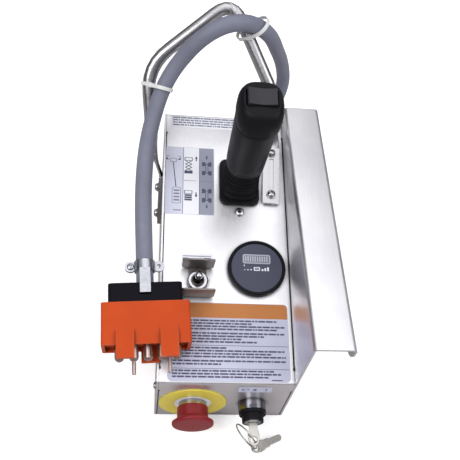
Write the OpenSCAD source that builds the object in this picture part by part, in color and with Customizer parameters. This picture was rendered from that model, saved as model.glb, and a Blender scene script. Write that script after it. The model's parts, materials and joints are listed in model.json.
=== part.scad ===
// Hand control box for a scissor lift: a folded aluminium console that hangs on a guard rail by a
// hooked side plate. A spring-centred joystick with a thumb rocker and an interlock trigger drives
// the lift. A guarded toggle, an emergency stop, a key switch and a charge gauge share the box, and
// a control cable leaves the back, passes over a tubular guard and ends in a flat blade plug.
// Origin: centre of the bottom face. +X right, +Y to the back, +Z up. Millimetres.

/* [Box] */
// Width of the folded box
box_w = 127; // [120:0.5:150]
// Length of the box, front to back
box_l = 279.4; // [270:0.5:300]
// Height of the front wall
front_h = 78.4; // [74:0.2:90]
// Height of the back wall
back_h = 134.75; // [125:0.25:140]
// Thickness of the sheet
sheet = 2; // [1.5:0.1:2.5]
// Outer radius of the bends
bend_r = 3; // [2.6:0.1:5]

/* [Hook] */
// Height of the flange above the bottom face
hook_h = 152.4; // [148:0.2:170]
// Reach of the flange beyond the box wall
flange_w = 34.9; // [28:0.1:50]
// Depth of the lip that hangs from the flange
lip_h = 21.4; // [16:0.1:40]
// Radius of the lip's lower corners
lip_corner_r = 12; // [4:0.5:15]

/* [Seams] */
// Width of the open seam beside the side plates
slit_w = 0.8; // [0.5:0.1:1.5]
// Start of the panel seam, from the front edge
slit_near = 14; // [10:0.5:25]
// Margin of the panel seam at the back edge
slit_far = 25; // [15:0.5:40]
// Height where the front seam starts
front_slit_low = 5; // [3:0.5:10]
// Length of the front seam
front_slit_len = 56.5; // [40:0.5:60]
// Diameter of the relief notch at a seam's end
relief_d = 3; // [2:0.5:4]

/* [Cover] */
// Height of the bottom cover's side flanges
cover_flange_h = 50; // [46:1:60]
// Distance of the cover screws from the box's ends
cover_screw_margin = 12.7; // [9.7:0.1:39.7]
// Height of the cover screws
cover_screw_z = 42; // [36:1:44]

/* [Guard tube] */
// Outer diameter of the guard tube
guard_d = 12.7; // [12:0.1:13]
// Width of its flattened ends
tab_w = 17.3; // [16:0.1:20]
// Thickness of its flattened ends
tab_t = 4; // [3.5:0.1:5]
// Distance between the two screws of the end on the box wall
wall_tab_pitch = 28.6; // [24:0.1:32]
// Distance between the two screws of the end on the panel
panel_tab_pitch = 48.5; // [44:0.1:52]

/* [Gauge] */
// Distance of the gauge's middle from the box's right side
gauge_margin = 34.6; // [33.6:0.1:37.5]
// Place of the gauge up the panel, as a share of the panel's length
gauge_up = 0.388; // [0.379:0.001:0.414]
// Diameter of the gauge bezel
gauge_d = 56; // [54:0.5:60]
// Height of the bezel above the panel
gauge_h = 6; // [4:0.5:9]
// Diameter of the gauge body behind the panel
gauge_body_d = 51; // [46:0.5:52]
// Depth of the gauge body behind the panel
gauge_body_l = 36; // [30:1:45]

/* [Toggle] */
// Place of the toggle across the panel
toggle_x = -28; // [-30:0.1:-26]
// Place of the toggle up the panel, as a share of the panel's length
toggle_up = 0.335; // [0.333:0.001:0.344]
// Width of the guard's ears
ear_w = 30.5; // [28:0.1:34]
// Height of the guard's ears
ear_h = 23; // [18:0.5:28]
// Distance between the ears' outer faces
ear_span = 30.5; // [28:0.1:34]
// Length of the lever above the panel
lever_h = 22; // [18:0.5:26]

/* [Joystick] */
// Distance of the joystick's middle from the box's right side
stick_margin = 49.75; // [48.5:0.05:51.5]
// Place of the joystick up the panel, as a share of the panel's length
stick_up = 0.716; // [0.713:0.001:0.722]
// Width of the joystick's base bezel
stick_base_w = 40; // [38:0.5:44]
// Length of the joystick's base bezel
stick_base_l = 51; // [48:0.5:54]
// Height of the grip's lower end above the panel
grip_low = 42; // [40:0.5:48]
// Height of the seam between grip and head
grip_seam = 118; // [112:0.5:124]
// Height of the top of the head
grip_top = 141; // [138:0.5:148]
// Width of the grip
grip_w = 38; // [34:0.5:42]
// Depth of the pivot below the panel's top face
pivot_depth = 14; // [12:0.5:18]

/* [Emergency stop] */
// Distance of the emergency stop's middle from the box's left side
estop_margin = 35.35; // [34.5:0.05:36.5]
// Height of the emergency stop
estop_z = 32.8; // [32.5:0.1:36]
// Diameter of the round legend plate
legend_d = 64; // [60:0.5:64.5]
// Diameter of the mushroom head
mushroom_d = 39; // [36:0.5:42]
// Reach of the head's rim from the front face
mushroom_reach = 20.8; // [18:0.1:24]
// Travel of the head when it is pressed
estop_travel = 4; // [3:0.5:4.5]

/* [Key switch] */
// Place of the key switch across the front
key_x = 28.5; // [27:0.1:30]
// Height of the key switch
key_z = 33; // [32:0.1:35]
// Diameter of the chrome bezel
key_bezel_d = 26.8; // [25:0.1:29]
// Reach of the lock's face from the front face
key_reach = 19.3; // [18:0.1:22]
// Width of the key's bow
bow_w = 11; // [10.5:0.1:13]
// Length of the key's bow
bow_l = 19; // [18:0.1:20]

/* [Cable] */
// Diameter of the control cable
cable_d = 16; // [15:0.1:16.5]
// Distance of the gland's middle from the box's right side
gland_margin = 17.5; // [17.3:0.1:17.5]
// Height of the gland
gland_z = 62; // [62:0.1:62.2]

/* [Plug] */
// Width of the plug's body
plug_w = 78; // [74:0.5:84]
// Length of the plug's body
plug_l = 38; // [34:0.5:42]
// Height of the plug's body
plug_h = 30; // [28:0.5:34]
// Width of the plug's hood
hood_w = 66; // [62:0.5:70]
// Length of the plug's hood
hood_l = 18; // [16:0.5:22]
// Distance between neighbouring blades
pin_pitch = 12.5; // [11.5:0.1:13.5]
// Diameter of the thick pins
pin_d = 8.4; // [7:0.1:9]

/* [Hidden] */
$fn = 48;

// Overrun of every cut
over = 1;
// Gap between curved faces that touch
gap = 0.3;
// Gap between a soft or loose piece and its seat
seat_gap = 0.2;
// Slope of the panel
slope = atan((back_h - front_h) / box_l);
panel_l = box_l / cos(slope);
gauge_x = box_w / 2 - gauge_margin;
gauge_s = panel_l * gauge_up;
toggle_s = panel_l * toggle_up;
stick_x = box_w / 2 - stick_margin;
stick_s = panel_l * stick_up;
estop_x = estop_margin - box_w / 2;
gland_x = box_w / 2 - gland_margin;
cover_screw_y = box_l / 2 - cover_screw_margin;
shell_w = box_w - 2 * sheet;
hook_out_x = box_w / 2 + flange_w;

function unit(v) = v / norm(v);
function mix(a, b, t) = a + (b - a) * t;
function reversed(v) = [for (i = [len(v) - 1:-1:0]) v[i]];
// Points of an arc, from one angle to another
function arc(c, r, a0, a1, n = 6) =
    [for (i = [0:n]) let (a = a0 + (a1 - a0) * i / n) c + r * [cos(a), sin(a)]];
// Points of an ellipse
function oval(a, b, n = 40) = [for (i = [0:n - 1]) [a * cos(360 * i / n), b * sin(360 * i / n)]];
// Points of a rectangle with round corners, centred
function round_rect(w, l, r, n = 5) = concat(
    arc([w / 2 - r, l / 2 - r], r, 0, 90, n), arc([r - w / 2, l / 2 - r], r, 90, 180, n),
    arc([r - w / 2, r - l / 2], r, 180, 270, n), arc([w / 2 - r, r - l / 2], r, 270, 360, n));

// Places where pieces are set
module on_panel(x, s, h = 0)
    translate([0, -box_l / 2, front_h]) rotate([slope, 0, 0]) translate([x, s, h]) children();
module on_front(x, z) translate([x, -box_l / 2, z]) rotate([90, 0, 0]) children();
module on_back(x, z) translate([x, box_l / 2, z]) rotate([-90, 0, 0]) children();
module across_x(w) translate([-w / 2, 0, 0]) rotate([90, 0, 90]) linear_extrude(height = w) children();
module along_y(l) translate([0, l / 2, 0]) rotate([90, 0, 0]) linear_extrude(height = l) children();
// A point given across, up and above the panel, in the frame of the part
function panel_point(x, s, h) = [x, -box_l / 2 + s * cos(slope) - h * sin(slope),
                                 front_h + s * sin(slope) + h * cos(slope)];
module through_sheet(r) translate([0, 0, -sheet - over]) cylinder(r = r, h = sheet + 2 * over);
module ring_of(r_out, r_in, low, high)
    translate([0, 0, low]) difference() {
        cylinder(r = r_out, h = high - low);
        translate([0, 0, -over]) cylinder(r = r_in, h = high - low + 2 * over);
    }
module hex(across_flats, h) cylinder(r = across_flats / 2 / cos(30), h = h, $fn = 6);

// Direction of travel at one place on a path
function heading(path, i) = unit(path[min(i + 1, len(path) - 1)] - path[max(i - 1, 0)]);
// Ring of points round one place: half width a across the reference direction, b along it
function ring(p, dir, ref, a, b, sides) =
    let (up = unit(ref - (ref * dir) * dir), side = cross(up, dir))
    [for (k = [0:sides - 1]) p + a * cos(360 * k / sides) * side + b * sin(360 * k / sides) * up];
// Closed skin over rings that follow each other
module skin(rings) {
    n = len(rings[0]);
    m = len(rings);
    polyhedron(points = [for (r = rings) each r], faces = concat(
        [[for (k = [0:n - 1]) k]], [[for (k = [n - 1:-1:0]) (m - 1) * n + k]],
        [for (i = [0:m - 2]) for (k = [0:n - 1]) let (q = (k + 1) % n)
            each [[i * n + k, (i + 1) * n + k, (i + 1) * n + q], [i * n + k, (i + 1) * n + q, i * n + q]]]));
}
// A corner of a bent path, rounded between two points that lie a cut away from it
function corner(p0, p1, p2, cut, n) =
    let (a = p1 + unit(p0 - p1) * cut, b = p1 + unit(p2 - p1) * cut)
    [for (i = [0:n]) mix(mix(a, p1, i / n), mix(p1, b, i / n), i / n)];

// Screw with a domed head and a hexagon socket, head upwards, seat at zero
module button_screw(d, head_d, head_h, l) {
    difference() {
        rotate_extrude() polygon(concat([[0, 0], [head_d / 2, 0]],
            [for (i = [0:6]) [head_d / 2 * cos(12 * i), head_h * (0.25 + 0.75 * sin(15 * i))]],
            [[0, head_h]]));
        translate([0, 0, head_h / 2]) hex(head_d * 0.45, head_h);
    }
    translate([0, 0, -l]) cylinder(d = d, h = l);
}

// Folded box

// Outline of the bent sheet seen from the side, inset by part of its thickness
front_c = [-box_l / 2 + bend_r, front_h + bend_r * tan(slope) - bend_r / cos(slope)];
back_c = [box_l / 2 - bend_r, front_h + (box_l - bend_r) * tan(slope) - bend_r / cos(slope)];
function box_path(inset) = concat([[-box_l / 2 + inset, 0]],
    arc(front_c, bend_r - inset, 180, 90 + slope), arc(back_c, bend_r - inset, 90 + slope, 0),
    [[box_l / 2 - inset, 0]]);

slit_len = panel_l - slit_near - slit_far;
guard_hole_r = 2.3;
stick_hole_r = 19;
stick_screw_offset = 33;
stick_screw_hole_r = 2.6;
toggle_hole_r = 6.3;
estop_hole_r = 11.3;
key_hole_r = 9.5;
gland_thread_r = 10;

module seam_cuts() {
    for (side = [-1, 1]) {
        on_panel(side * shell_w / 2, slit_near) translate([-slit_w, 0, -sheet - over])
            cube([2 * slit_w, slit_len, sheet + 2 * over]);
        for (s = [slit_near, slit_near + slit_len])
            on_panel(side * shell_w / 2, s) through_sheet(relief_d / 2);
        translate([side * shell_w / 2 - slit_w, -box_l / 2 - over, front_slit_low])
            cube([2 * slit_w, sheet + 2 * over, front_slit_len]);
        for (z = [front_slit_low, front_slit_low + front_slit_len])
            on_front(side * shell_w / 2, z) through_sheet(relief_d / 2);
    }
}

module top_shell() color("gainsboro") difference() {
    across_x(shell_w) polygon(concat(box_path(0), reversed(box_path(sheet))));
    seam_cuts();
    on_panel(gauge_x, gauge_s) through_sheet(gauge_body_d / 2 + gap);
    on_panel(toggle_x, toggle_s) through_sheet(toggle_hole_r);
    on_panel(stick_x, stick_s) through_sheet(stick_hole_r);
    for (end = [-1, 1]) on_panel(stick_x, stick_s + end * stick_screw_offset)
        through_sheet(stick_screw_hole_r);
    at_panel_tab() for (end = [0, 1]) translate([0, end * panel_tab_pitch, 0])
        through_sheet(guard_hole_r);
    on_front(estop_x, estop_z) through_sheet(estop_hole_r);
    on_front(key_x, key_z) through_sheet(key_hole_r);
    on_back(gland_x, gland_z) through_sheet(gland_thread_r + gap);
}

cover_screw_d = 4;
cover_hole_r = 2.2;
module cover_screw_places() for (side = [-1, 1]) for (end = [-1, 1])
    translate([side * box_w / 2, end * cover_screw_y, cover_screw_z]) rotate([0, side * 90, 0]) children();

module left_side_plate() color("lightgray") difference() {
    translate([(sheet - box_w) / 2, 0, 0]) across_x(sheet) polygon(box_path(0));
    cover_screw_places() through_sheet(cover_hole_r);
    at_wall_tab() for (end = [0, 1]) translate([0, 0, -end * wall_tab_pitch])
        rotate([0, -90, 0]) through_sheet(guard_hole_r);
}

hook_in_r = 2;
// Section of the hooked plate, seen from the front
function hook_section() = let (x0 = box_w / 2 - sheet, near = box_w / 2 + hook_in_r,
                               far = hook_out_x - sheet - hook_in_r, z = hook_h - sheet - hook_in_r)
    concat([[x0, 0], [box_w / 2, 0]], arc([near, z], hook_in_r, 180, 90),
        arc([far, z], hook_in_r, 90, 0), [[hook_out_x - sheet, hook_h - lip_h], [hook_out_x, hook_h - lip_h]],
        arc([far, z], hook_in_r + sheet, 0, 90), arc([near, z], hook_in_r + sheet, 90, 180));
module lip_corner_waste() translate([hook_out_x - sheet - over, box_l / 2 - lip_corner_r, hook_h - lip_h - over])
    difference() {
        cube([sheet + 2 * over, lip_corner_r + over, lip_corner_r + over]);
        translate([-over, 0, lip_corner_r + over]) rotate([0, 90, 0])
            cylinder(r = lip_corner_r, h = sheet + 4 * over);
    }
module hook_plate() color("silver") difference() {
    along_y(box_l) polygon(hook_section());
    for (end = [0, 1]) mirror([0, end, 0]) lip_corner_waste();
    cover_screw_places() through_sheet(cover_hole_r);
}

cover_w = shell_w - 2 * seat_gap;
cover_l = box_l - 2 * sheet - 2 * seat_gap;
module bottom_cover() color("silver") difference() {
    along_y(cover_l) polygon([[-cover_w / 2, 0], [cover_w / 2, 0], [cover_w / 2, cover_flange_h],
        [cover_w / 2 - sheet, cover_flange_h], [cover_w / 2 - sheet, sheet], [sheet - cover_w / 2, sheet],
        [sheet - cover_w / 2, cover_flange_h], [-cover_w / 2, cover_flange_h]]);
    cover_screw_places() translate([0, 0, -sheet - seat_gap]) through_sheet(cover_hole_r);
}

cover_screw_head_d = 7;
cover_screw_head_h = 2.2;
cover_screw_l = 7;
module cover_screws() color("silver") cover_screw_places()
    button_screw(cover_screw_d, cover_screw_head_d, cover_screw_head_h, cover_screw_l);

// Guard tube over the joystick

// Upper screw of the end on the box wall, and how far that end leans back
wall_tab_back = 64.7;
wall_tab_y = box_l / 2 - wall_tab_back;
wall_tab_z = 89;
wall_tab_lean = 35;
wall_tab_up = 14;
wall_tab_down = 10;
// Lower screw of the end on the panel, and how far that end is turned
panel_tab_margin = 17.5;
panel_tab_back = 94;
panel_tab_x = box_w / 2 - panel_tab_margin;
panel_tab_s = panel_l - panel_tab_back;
panel_tab_turn = -2.6;
panel_tab_up = 7;
panel_tab_down = 10;
groove_w = 5;
groove_d = 0.6;
groove_margin = 7;

module at_wall_tab() translate([-box_w / 2, wall_tab_y, wall_tab_z]) rotate([-wall_tab_lean, 0, 0]) children();
module at_panel_tab() on_panel(panel_tab_x, panel_tab_s) rotate([0, 0, panel_tab_turn]) children();
function wall_tab_point(up) = [-box_w / 2 - tab_t / 2, wall_tab_y + sin(wall_tab_lean) * up,
                               wall_tab_z + cos(wall_tab_lean) * up];
function panel_tab_point(up) = panel_point(panel_tab_x - sin(panel_tab_turn) * up,
                                           panel_tab_s + cos(panel_tab_turn) * up, tab_t / 2);

// A place that keeps to the box as its size changes: shares of the half width and half length, then
// the distances across, along and up from there
function placed(p) = [p[0] * box_w / 2 + p[2], p[1] * box_l / 2 + p[3], p[4]];
// Corners of the tube's centre line between its flat ends, and how far each is rounded
panel_tab_len = panel_tab_pitch + panel_tab_up;
tab_bend_margin = 14.5;
tab_bend_back = 11;
tab_bend_up = 3.9;
guard_places = [[-1, 1, -11.5, -41.7, 120], [0, 1, -84, 9.3, 187], [0, 1, -2.5, 53.3, 239], [1, 1, -18.5, -8.7, 176]];
guard_corners = concat([for (p = guard_places) placed(p)],
    [panel_point(box_w / 2 - tab_bend_margin, panel_tab_s + panel_tab_len + tab_bend_back, tab_bend_up)]);
guard_cuts = [14, 28, 22, 14, 10];
guard_steps = 6;
guard_ends = [wall_tab_point(wall_tab_up), panel_tab_point(panel_tab_len)];
guard_line = concat([guard_ends[0]], guard_corners, [guard_ends[1]]);
guard_path = concat([wall_tab_point(wall_tab_up - tab_t), guard_ends[0]],
    [for (i = [1:len(guard_corners)])
        each corner(guard_line[i - 1], guard_line[i], guard_line[i + 1], guard_cuts[i - 1], guard_steps)],
    [guard_ends[1], panel_tab_point(panel_tab_len - tab_t)]);
wall_normal = [-1, 0, 0];
panel_normal = [0, -sin(slope), cos(slope)];
// The section is flat at both ends, grows round over some steps, and is pressed wide in the tight
// bend on the left
bend_flat_share = 0.09;
flat_steps = 3;
grow_steps = 6;
function guard_flat(i) = let (n = len(guard_path) - 1, far = min(i, n - i))
    max(0, min(1, 1 - (far - flat_steps + 1) / grow_steps));
function guard_squash(i) = let (k = i - 2 - guard_steps - 1) k >= 0 && k <= guard_steps
    ? bend_flat_share * sin(180 * k / guard_steps) : 0;
function guard_ring(i) = let (f = guard_flat(i), q = guard_squash(i), r = guard_d / 2,
                              t = max(0, min(1, (i - flat_steps) / (len(guard_path) - 1 - 2 * flat_steps))))
    ring(guard_path[i], heading(guard_path, i), mix(wall_normal, panel_normal, t),
        mix(r, tab_w / 2, f) * (1 - q), mix(r, tab_t / 2, f) * (1 + q), 16);
// Flat end of the tube, lying along Y, with the screw holes from zero on
module flat_end(pitch, up, down) difference() {
    linear_extrude(height = tab_t) translate([0, (pitch + up - down) / 2])
        polygon(round_rect(tab_w, pitch + up + down, tab_t / 2));
    for (end = [0, 1]) translate([0, end * pitch, -over]) cylinder(r = guard_hole_r, h = tab_t + 2 * over);
}
module guard_tube() color("silver") {
    skin([for (i = [0:len(guard_path) - 1]) guard_ring(i)]);
    at_wall_tab() rotate([90, 0, -90]) translate([0, -wall_tab_pitch, 0])
        flat_end(wall_tab_pitch, wall_tab_up, wall_tab_down);
    at_panel_tab() difference() {
        flat_end(panel_tab_pitch, panel_tab_up, panel_tab_down);
        translate([-groove_w / 2, groove_margin, tab_t - groove_d])
            cube([groove_w, panel_tab_pitch - 2 * groove_margin, groove_d + over]);
    }
}

guard_screw_d = 4;
guard_screw_head_d = 8;
guard_screw_head_h = 3;
guard_screw_l = 9;
guard_washer_d = 9.6;
guard_washer_t = 0.9;
module guard_screw() {
    ring_of(guard_washer_d / 2, guard_screw_d / 2, 0, guard_washer_t);
    translate([0, 0, guard_washer_t])
        button_screw(guard_screw_d, guard_screw_head_d, guard_screw_head_h, guard_screw_l);
}
module guard_screws() color("silver") {
    at_wall_tab() for (end = [0, 1]) translate([-tab_t, 0, -end * wall_tab_pitch])
        rotate([0, -90, 0]) guard_screw();
    at_panel_tab() for (end = [0, 1]) translate([0, end * panel_tab_pitch, tab_t]) guard_screw();
}

// Charge gauge

gauge_rim_w = 3.1;
gauge_rim_drop = 1.4;
gauge_face_t = 2.2;
module gauge_bezel() color("black") on_panel(gauge_x, gauge_s) rotate_extrude()
    let (r = gauge_d / 2) polygon(concat([[r - gauge_rim_w, 0], [r, 0]],
        arc([r - gauge_rim_drop, gauge_h - gauge_rim_drop], gauge_rim_drop, 0, 90),
        [[r - gauge_rim_w + gauge_rim_drop / 2, gauge_h], [r - gauge_rim_w, gauge_h - gauge_rim_drop]]));

// Window for the charge bars, and its place above the gauge's middle
window_w = 27.5;
window_l = 10;
window_up = 9;
window_d = 0.6;
module gauge_face() color("darkslategray") on_panel(gauge_x, gauge_s) difference() {
    translate([0, 0, gauge_h - gauge_rim_drop - gauge_face_t])
        cylinder(r = gauge_d / 2 - gauge_rim_w - seat_gap, h = gauge_face_t);
    translate([0, window_up, gauge_h - gauge_rim_drop - window_d]) linear_extrude(height = over)
        polygon(round_rect(window_w, window_l, window_l / 5));
}

gauge_terminal_w = 6.3;
gauge_terminal_t = 0.8;
gauge_terminal_l = 8;
gauge_stud_d = 5;
gauge_stud_x = 16;
gauge_stud_l = 10;
module gauge_body() color("dimgray") on_panel(gauge_x, gauge_s) {
    translate([0, 0, -gauge_body_l]) cylinder(d = gauge_body_d, h = gauge_body_l);
    translate([0, 0, -sheet]) cylinder(r = gauge_d / 2 - gauge_rim_w - gap,
        h = sheet + gauge_h - gauge_rim_drop - gauge_face_t);
    for (i = [-1:1]) translate([i * gauge_terminal_w * 1.4 - gauge_terminal_w / 2, 0, -gauge_body_l - gauge_terminal_l])
        cube([gauge_terminal_w, gauge_terminal_t, gauge_terminal_l]);
    for (side = [-1, 1]) translate([side * gauge_stud_x, 0, -gauge_body_l - gauge_stud_l])
        cylinder(d = gauge_stud_d, h = gauge_stud_l);
}

clamp_strip_w = 12;
clamp_strip_t = 1.5;
gauge_nut_t = 4;
gauge_nut_flats = 8;
module gauge_clamp() color("silver") on_panel(gauge_x, gauge_s) {
    reach = gauge_body_d / 2 + gap;
    difference() {
        translate([-clamp_strip_w / 2 - gauge_stud_x, -reach - clamp_strip_t, -gauge_body_l - seat_gap - clamp_strip_t])
            cube([2 * gauge_stud_x + clamp_strip_w, 2 * (reach + clamp_strip_t),
                  gauge_body_l + seat_gap + clamp_strip_t - sheet - seat_gap]);
        translate([-clamp_strip_w - gauge_stud_x, -reach, -gauge_body_l - seat_gap])
            cube([2 * (gauge_stud_x + clamp_strip_w), 2 * reach, gauge_body_l + over]);
        translate([-gauge_terminal_w * 2, -clamp_strip_w / 2, -gauge_body_l - seat_gap - clamp_strip_t - over])
            cube([gauge_terminal_w * 4, clamp_strip_w, clamp_strip_t + 2 * over]);
        for (side = [-1, 1]) translate([side * gauge_stud_x, 0, -gauge_body_l - gauge_stud_l])
            cylinder(d = gauge_stud_d + 2 * gap, h = gauge_stud_l);
    }
    for (side = [-1, 1]) translate([side * gauge_stud_x, 0, -gauge_body_l - seat_gap - clamp_strip_t - gauge_nut_t])
        difference() {
            hex(gauge_nut_flats, gauge_nut_t);
            translate([0, 0, -over]) cylinder(d = gauge_stud_d + 2 * seat_gap, h = gauge_nut_t + 2 * over);
        }
}

// Guarded toggle switch

guard_plate_t = 1.5;
ear_foot_w = 16;
ear_low_r = 8;
ear_top_r = 2;
module toggle_ear() rotate([90, 0, 0]) linear_extrude(height = guard_plate_t) polygon(concat(
    [[-ear_foot_w / 2, 0], [ear_foot_w / 2, 0]],
    [for (p = arc([ear_foot_w / 2, ear_low_r], ear_low_r, -90, 0)) [min(p[0], ear_w / 2), p[1]]],
    arc([ear_w / 2 - ear_top_r, ear_h - ear_top_r], ear_top_r, 0, 90),
    arc([ear_top_r - ear_w / 2, ear_h - ear_top_r], ear_top_r, 90, 180),
    [for (p = arc([-ear_foot_w / 2, ear_low_r], ear_low_r, 180, 270)) [max(p[0], -ear_w / 2), p[1]]]));
bushing_r = 5.9;
module toggle_guard() color("dimgray") on_panel(toggle_x, toggle_s) difference() {
    union() {
        translate([-ear_foot_w / 2, -ear_span / 2, 0]) cube([ear_foot_w, ear_span, guard_plate_t]);
        translate([0, guard_plate_t - ear_span / 2, 0]) toggle_ear();
        translate([0, ear_span / 2, 0]) toggle_ear();
    }
    translate([0, 0, -over]) cylinder(r = bushing_r + gap, h = guard_plate_t + 2 * over);
}

washer_t = 0.8;
washer_r = 9.6;
washer_tab_w = 3.2;
washer_tab_h = 2.6;
nut_r = 9.8;
nut_h = 4;
nut_low = guard_plate_t + washer_t;
module toggle_washer() color("silver") on_panel(toggle_x, toggle_s) {
    ring_of(washer_r, bushing_r + gap, guard_plate_t, nut_low);
    rotate([0, 0, 15]) translate([nut_r + gap, -washer_tab_w / 2, guard_plate_t]) {
        cube([washer_t, washer_tab_w, washer_tab_h]);
        translate([-2 * washer_t, 0, 0]) cube([2 * washer_t + over / 2, washer_tab_w, washer_t]);
    }
}

nut_chamfer = 1.2;
nut_notches = 20;
nut_notch_r = 0.8;
module toggle_nut() color("silver") on_panel(toggle_x, toggle_s) difference() {
    translate([0, 0, nut_low]) rotate_extrude() polygon([[bushing_r + gap, 0], [nut_r, 0],
        [nut_r, nut_h - nut_chamfer], [nut_r - nut_chamfer, nut_h], [bushing_r + gap, nut_h]]);
    for (i = [1:nut_notches]) rotate([0, 0, 360 * i / nut_notches]) translate([nut_r, 0, nut_low - over])
        cylinder(r = nut_notch_r, h = nut_h + 2 * over);
}

bushing_h = 9;
bushing_bore_r = 4.7;
toggle_case = [30, 18, 22];
toggle_terminal_l = 7;
toggle_pitch = 9;
module toggle_body() color("darkred") on_panel(toggle_x, toggle_s) {
    difference() {
        translate([0, 0, -sheet - over]) cylinder(r = bushing_r, h = sheet + over + bushing_h);
        translate([0, 0, -sheet]) cylinder(r = bushing_bore_r, h = sheet + bushing_h + over);
    }
    translate([-toggle_case[0] / 2, -toggle_case[1] / 2, -sheet - toggle_case[2] - seat_gap])
        cube(toggle_case);
    for (i = [-1:1]) translate([i * toggle_pitch - gauge_terminal_w / 2, 0, -sheet - toggle_case[2] - toggle_terminal_l])
        cube([gauge_terminal_w, gauge_terminal_t, toggle_terminal_l]);
}

lever_pivot_h = 1;
lever_neck_r = 2.1;
lever_tip_r = 3.7;
lever_ball_r = 2.7;
module toggle_lever() color("whitesmoke") on_panel(toggle_x, toggle_s) rotate_extrude()
    polygon(concat([[0, lever_pivot_h - lever_ball_r]], arc([0, lever_pivot_h], lever_ball_r, -60, 35),
        [[lever_neck_r, bushing_h]],
        arc([0, lever_h - lever_tip_r], lever_tip_r, -20, 85), [[0, lever_h]]));

// Joystick

stick_base_h = 3.5;
stick_base_r = 7;
stick_bore_r = 17;
module joystick_base() color("black") on_panel(stick_x, stick_s) difference() {
    linear_extrude(height = stick_base_h) polygon(round_rect(stick_base_w, stick_base_l, stick_base_r));
    translate([0, 0, -over]) cylinder(r = stick_bore_r, h = stick_base_h + 2 * over);
}

housing_w = 44;
housing_l = 78;
housing_wall = 3;
housing_d = 46;
housing_box_l = 46;
pivot_pin_r = 3;
module joystick_housing() color("dimgray") on_panel(stick_x, stick_s, -sheet) difference() {
    union() {
        translate([-housing_w / 2, -housing_l / 2, -housing_wall]) cube([housing_w, housing_l, housing_wall]);
        translate([-housing_w / 2, -housing_box_l / 2, -housing_d]) cube([housing_w, housing_box_l, housing_d]);
    }
    translate([housing_wall - housing_w / 2, housing_wall - housing_box_l / 2, housing_wall - housing_d])
        cube([housing_w - 2 * housing_wall, housing_box_l - 2 * housing_wall, housing_d]);
    for (end = [-1, 1]) translate([0, end * stick_screw_offset, -housing_wall - over])
        cylinder(r = stick_screw_hole_r, h = housing_wall + 2 * over);
    translate([-housing_w / 2 - over, 0, sheet - pivot_depth]) rotate([0, 90, 0])
        cylinder(r = pivot_pin_r, h = housing_w + 2 * over);
}
module pivot_pin() color("silver") on_panel(stick_x - housing_w / 2, stick_s, -pivot_depth)
    rotate([0, 90, 0]) cylinder(r = pivot_pin_r, h = housing_w);

stick_screw_d = 5;
stick_screw_head_d = 9.4;
stick_screw_head_h = 3;
stick_screw_l = 9;
stick_nut_flats = 8;
stick_nut_t = 3.5;
module joystick_screws() color("silver") for (end = [-1, 1])
    on_panel(stick_x, stick_s + end * stick_screw_offset) {
        button_screw(stick_screw_d, stick_screw_head_d, stick_screw_head_h, stick_screw_l);
        translate([0, 0, -sheet - housing_wall - stick_nut_t]) difference() {
            hex(stick_nut_flats, stick_nut_t);
            translate([0, 0, -over]) cylinder(d = stick_screw_d - seat_gap, h = stick_nut_t + 2 * over);
        }
    }

boot_folds = 6;
boot_low_r = 19.5;
boot_high_r = 17.5;
boot_fold_d = 3;
boot_wall = 1.2;
boot_low = stick_base_h;
boot_high = grip_low - seat_gap;
// Radius of the bellows at each half fold, swelling in and out
function boot_line(inset) = [for (i = [0:2 * boot_folds])
    [mix(boot_low_r, boot_high_r, i / (2 * boot_folds)) - (i % 2 == 0 ? boot_fold_d : 0) - inset,
     mix(boot_low, boot_high, i / (2 * boot_folds))]];
module joystick_boot() color("black") on_panel(stick_x, stick_s) rotate_extrude()
    polygon(concat(boot_line(0), reversed(boot_line(boot_wall))));

shaft_r = 5;
hub_r = 8;
hub_w = 16;
shaft_low = 34;
module joystick_shaft() color("silver") on_panel(stick_x, stick_s) difference() {
    union() {
        translate([0, 0, -shaft_low]) cylinder(r = shaft_r, h = shaft_low + grip_low);
        translate([-hub_w / 2, 0, -pivot_depth]) rotate([0, 90, 0]) cylinder(r = hub_r, h = hub_w);
    }
    translate([-hub_w, 0, -pivot_depth]) rotate([0, 90, 0]) cylinder(r = pivot_pin_r + 0.05, h = 2 * hub_w);
}

// Sections of the grip up its length: height share, width share, depth share, offset share
grip_depth_share = 1.1;
grip_shares = [[0, 0.86, 0.86, 0], [0.04, 0.96, 0.94, 0], [0.2, 0.97, 0.97, 0.01], [0.45, 0.98, 1, 0.02],
               [0.7, 1, 1.02, 0.02], [0.92, 1.02, 1.04, 0.02], [0.985, 1.03, 1.05, 0.02], [1, 1, 1.02, 0.02]];
head_shares = [[0, 1.02, 1.04, 0.02], [0.04, 1.04, 1.08, 0.02], [0.45, 1.05, 1.06, 0.02],
               [0.75, 1.02, 0.98, 0.03], [0.92, 0.93, 0.88, 0.05], [1, 0.82, 0.76, 0.06]];
grip_depth = grip_w * grip_depth_share;
// Point of a rounded rectangular section
function sign_power(v, e) = sign(v) * pow(abs(v), e);
function soft_section(z, w, l, y0, sides, e) = [for (k = [0:sides - 1]) let (a = 360 * k / sides)
    [w / 2 * sign_power(cos(a), e), y0 + l / 2 * sign_power(sin(a), e), z]];
module lofted_grip(low, high, shares, e) skin([for (q = shares)
    soft_section(mix(low, high, q[0]), grip_w * q[1], grip_depth * q[2], grip_depth * q[3], 28, e)]);

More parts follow.
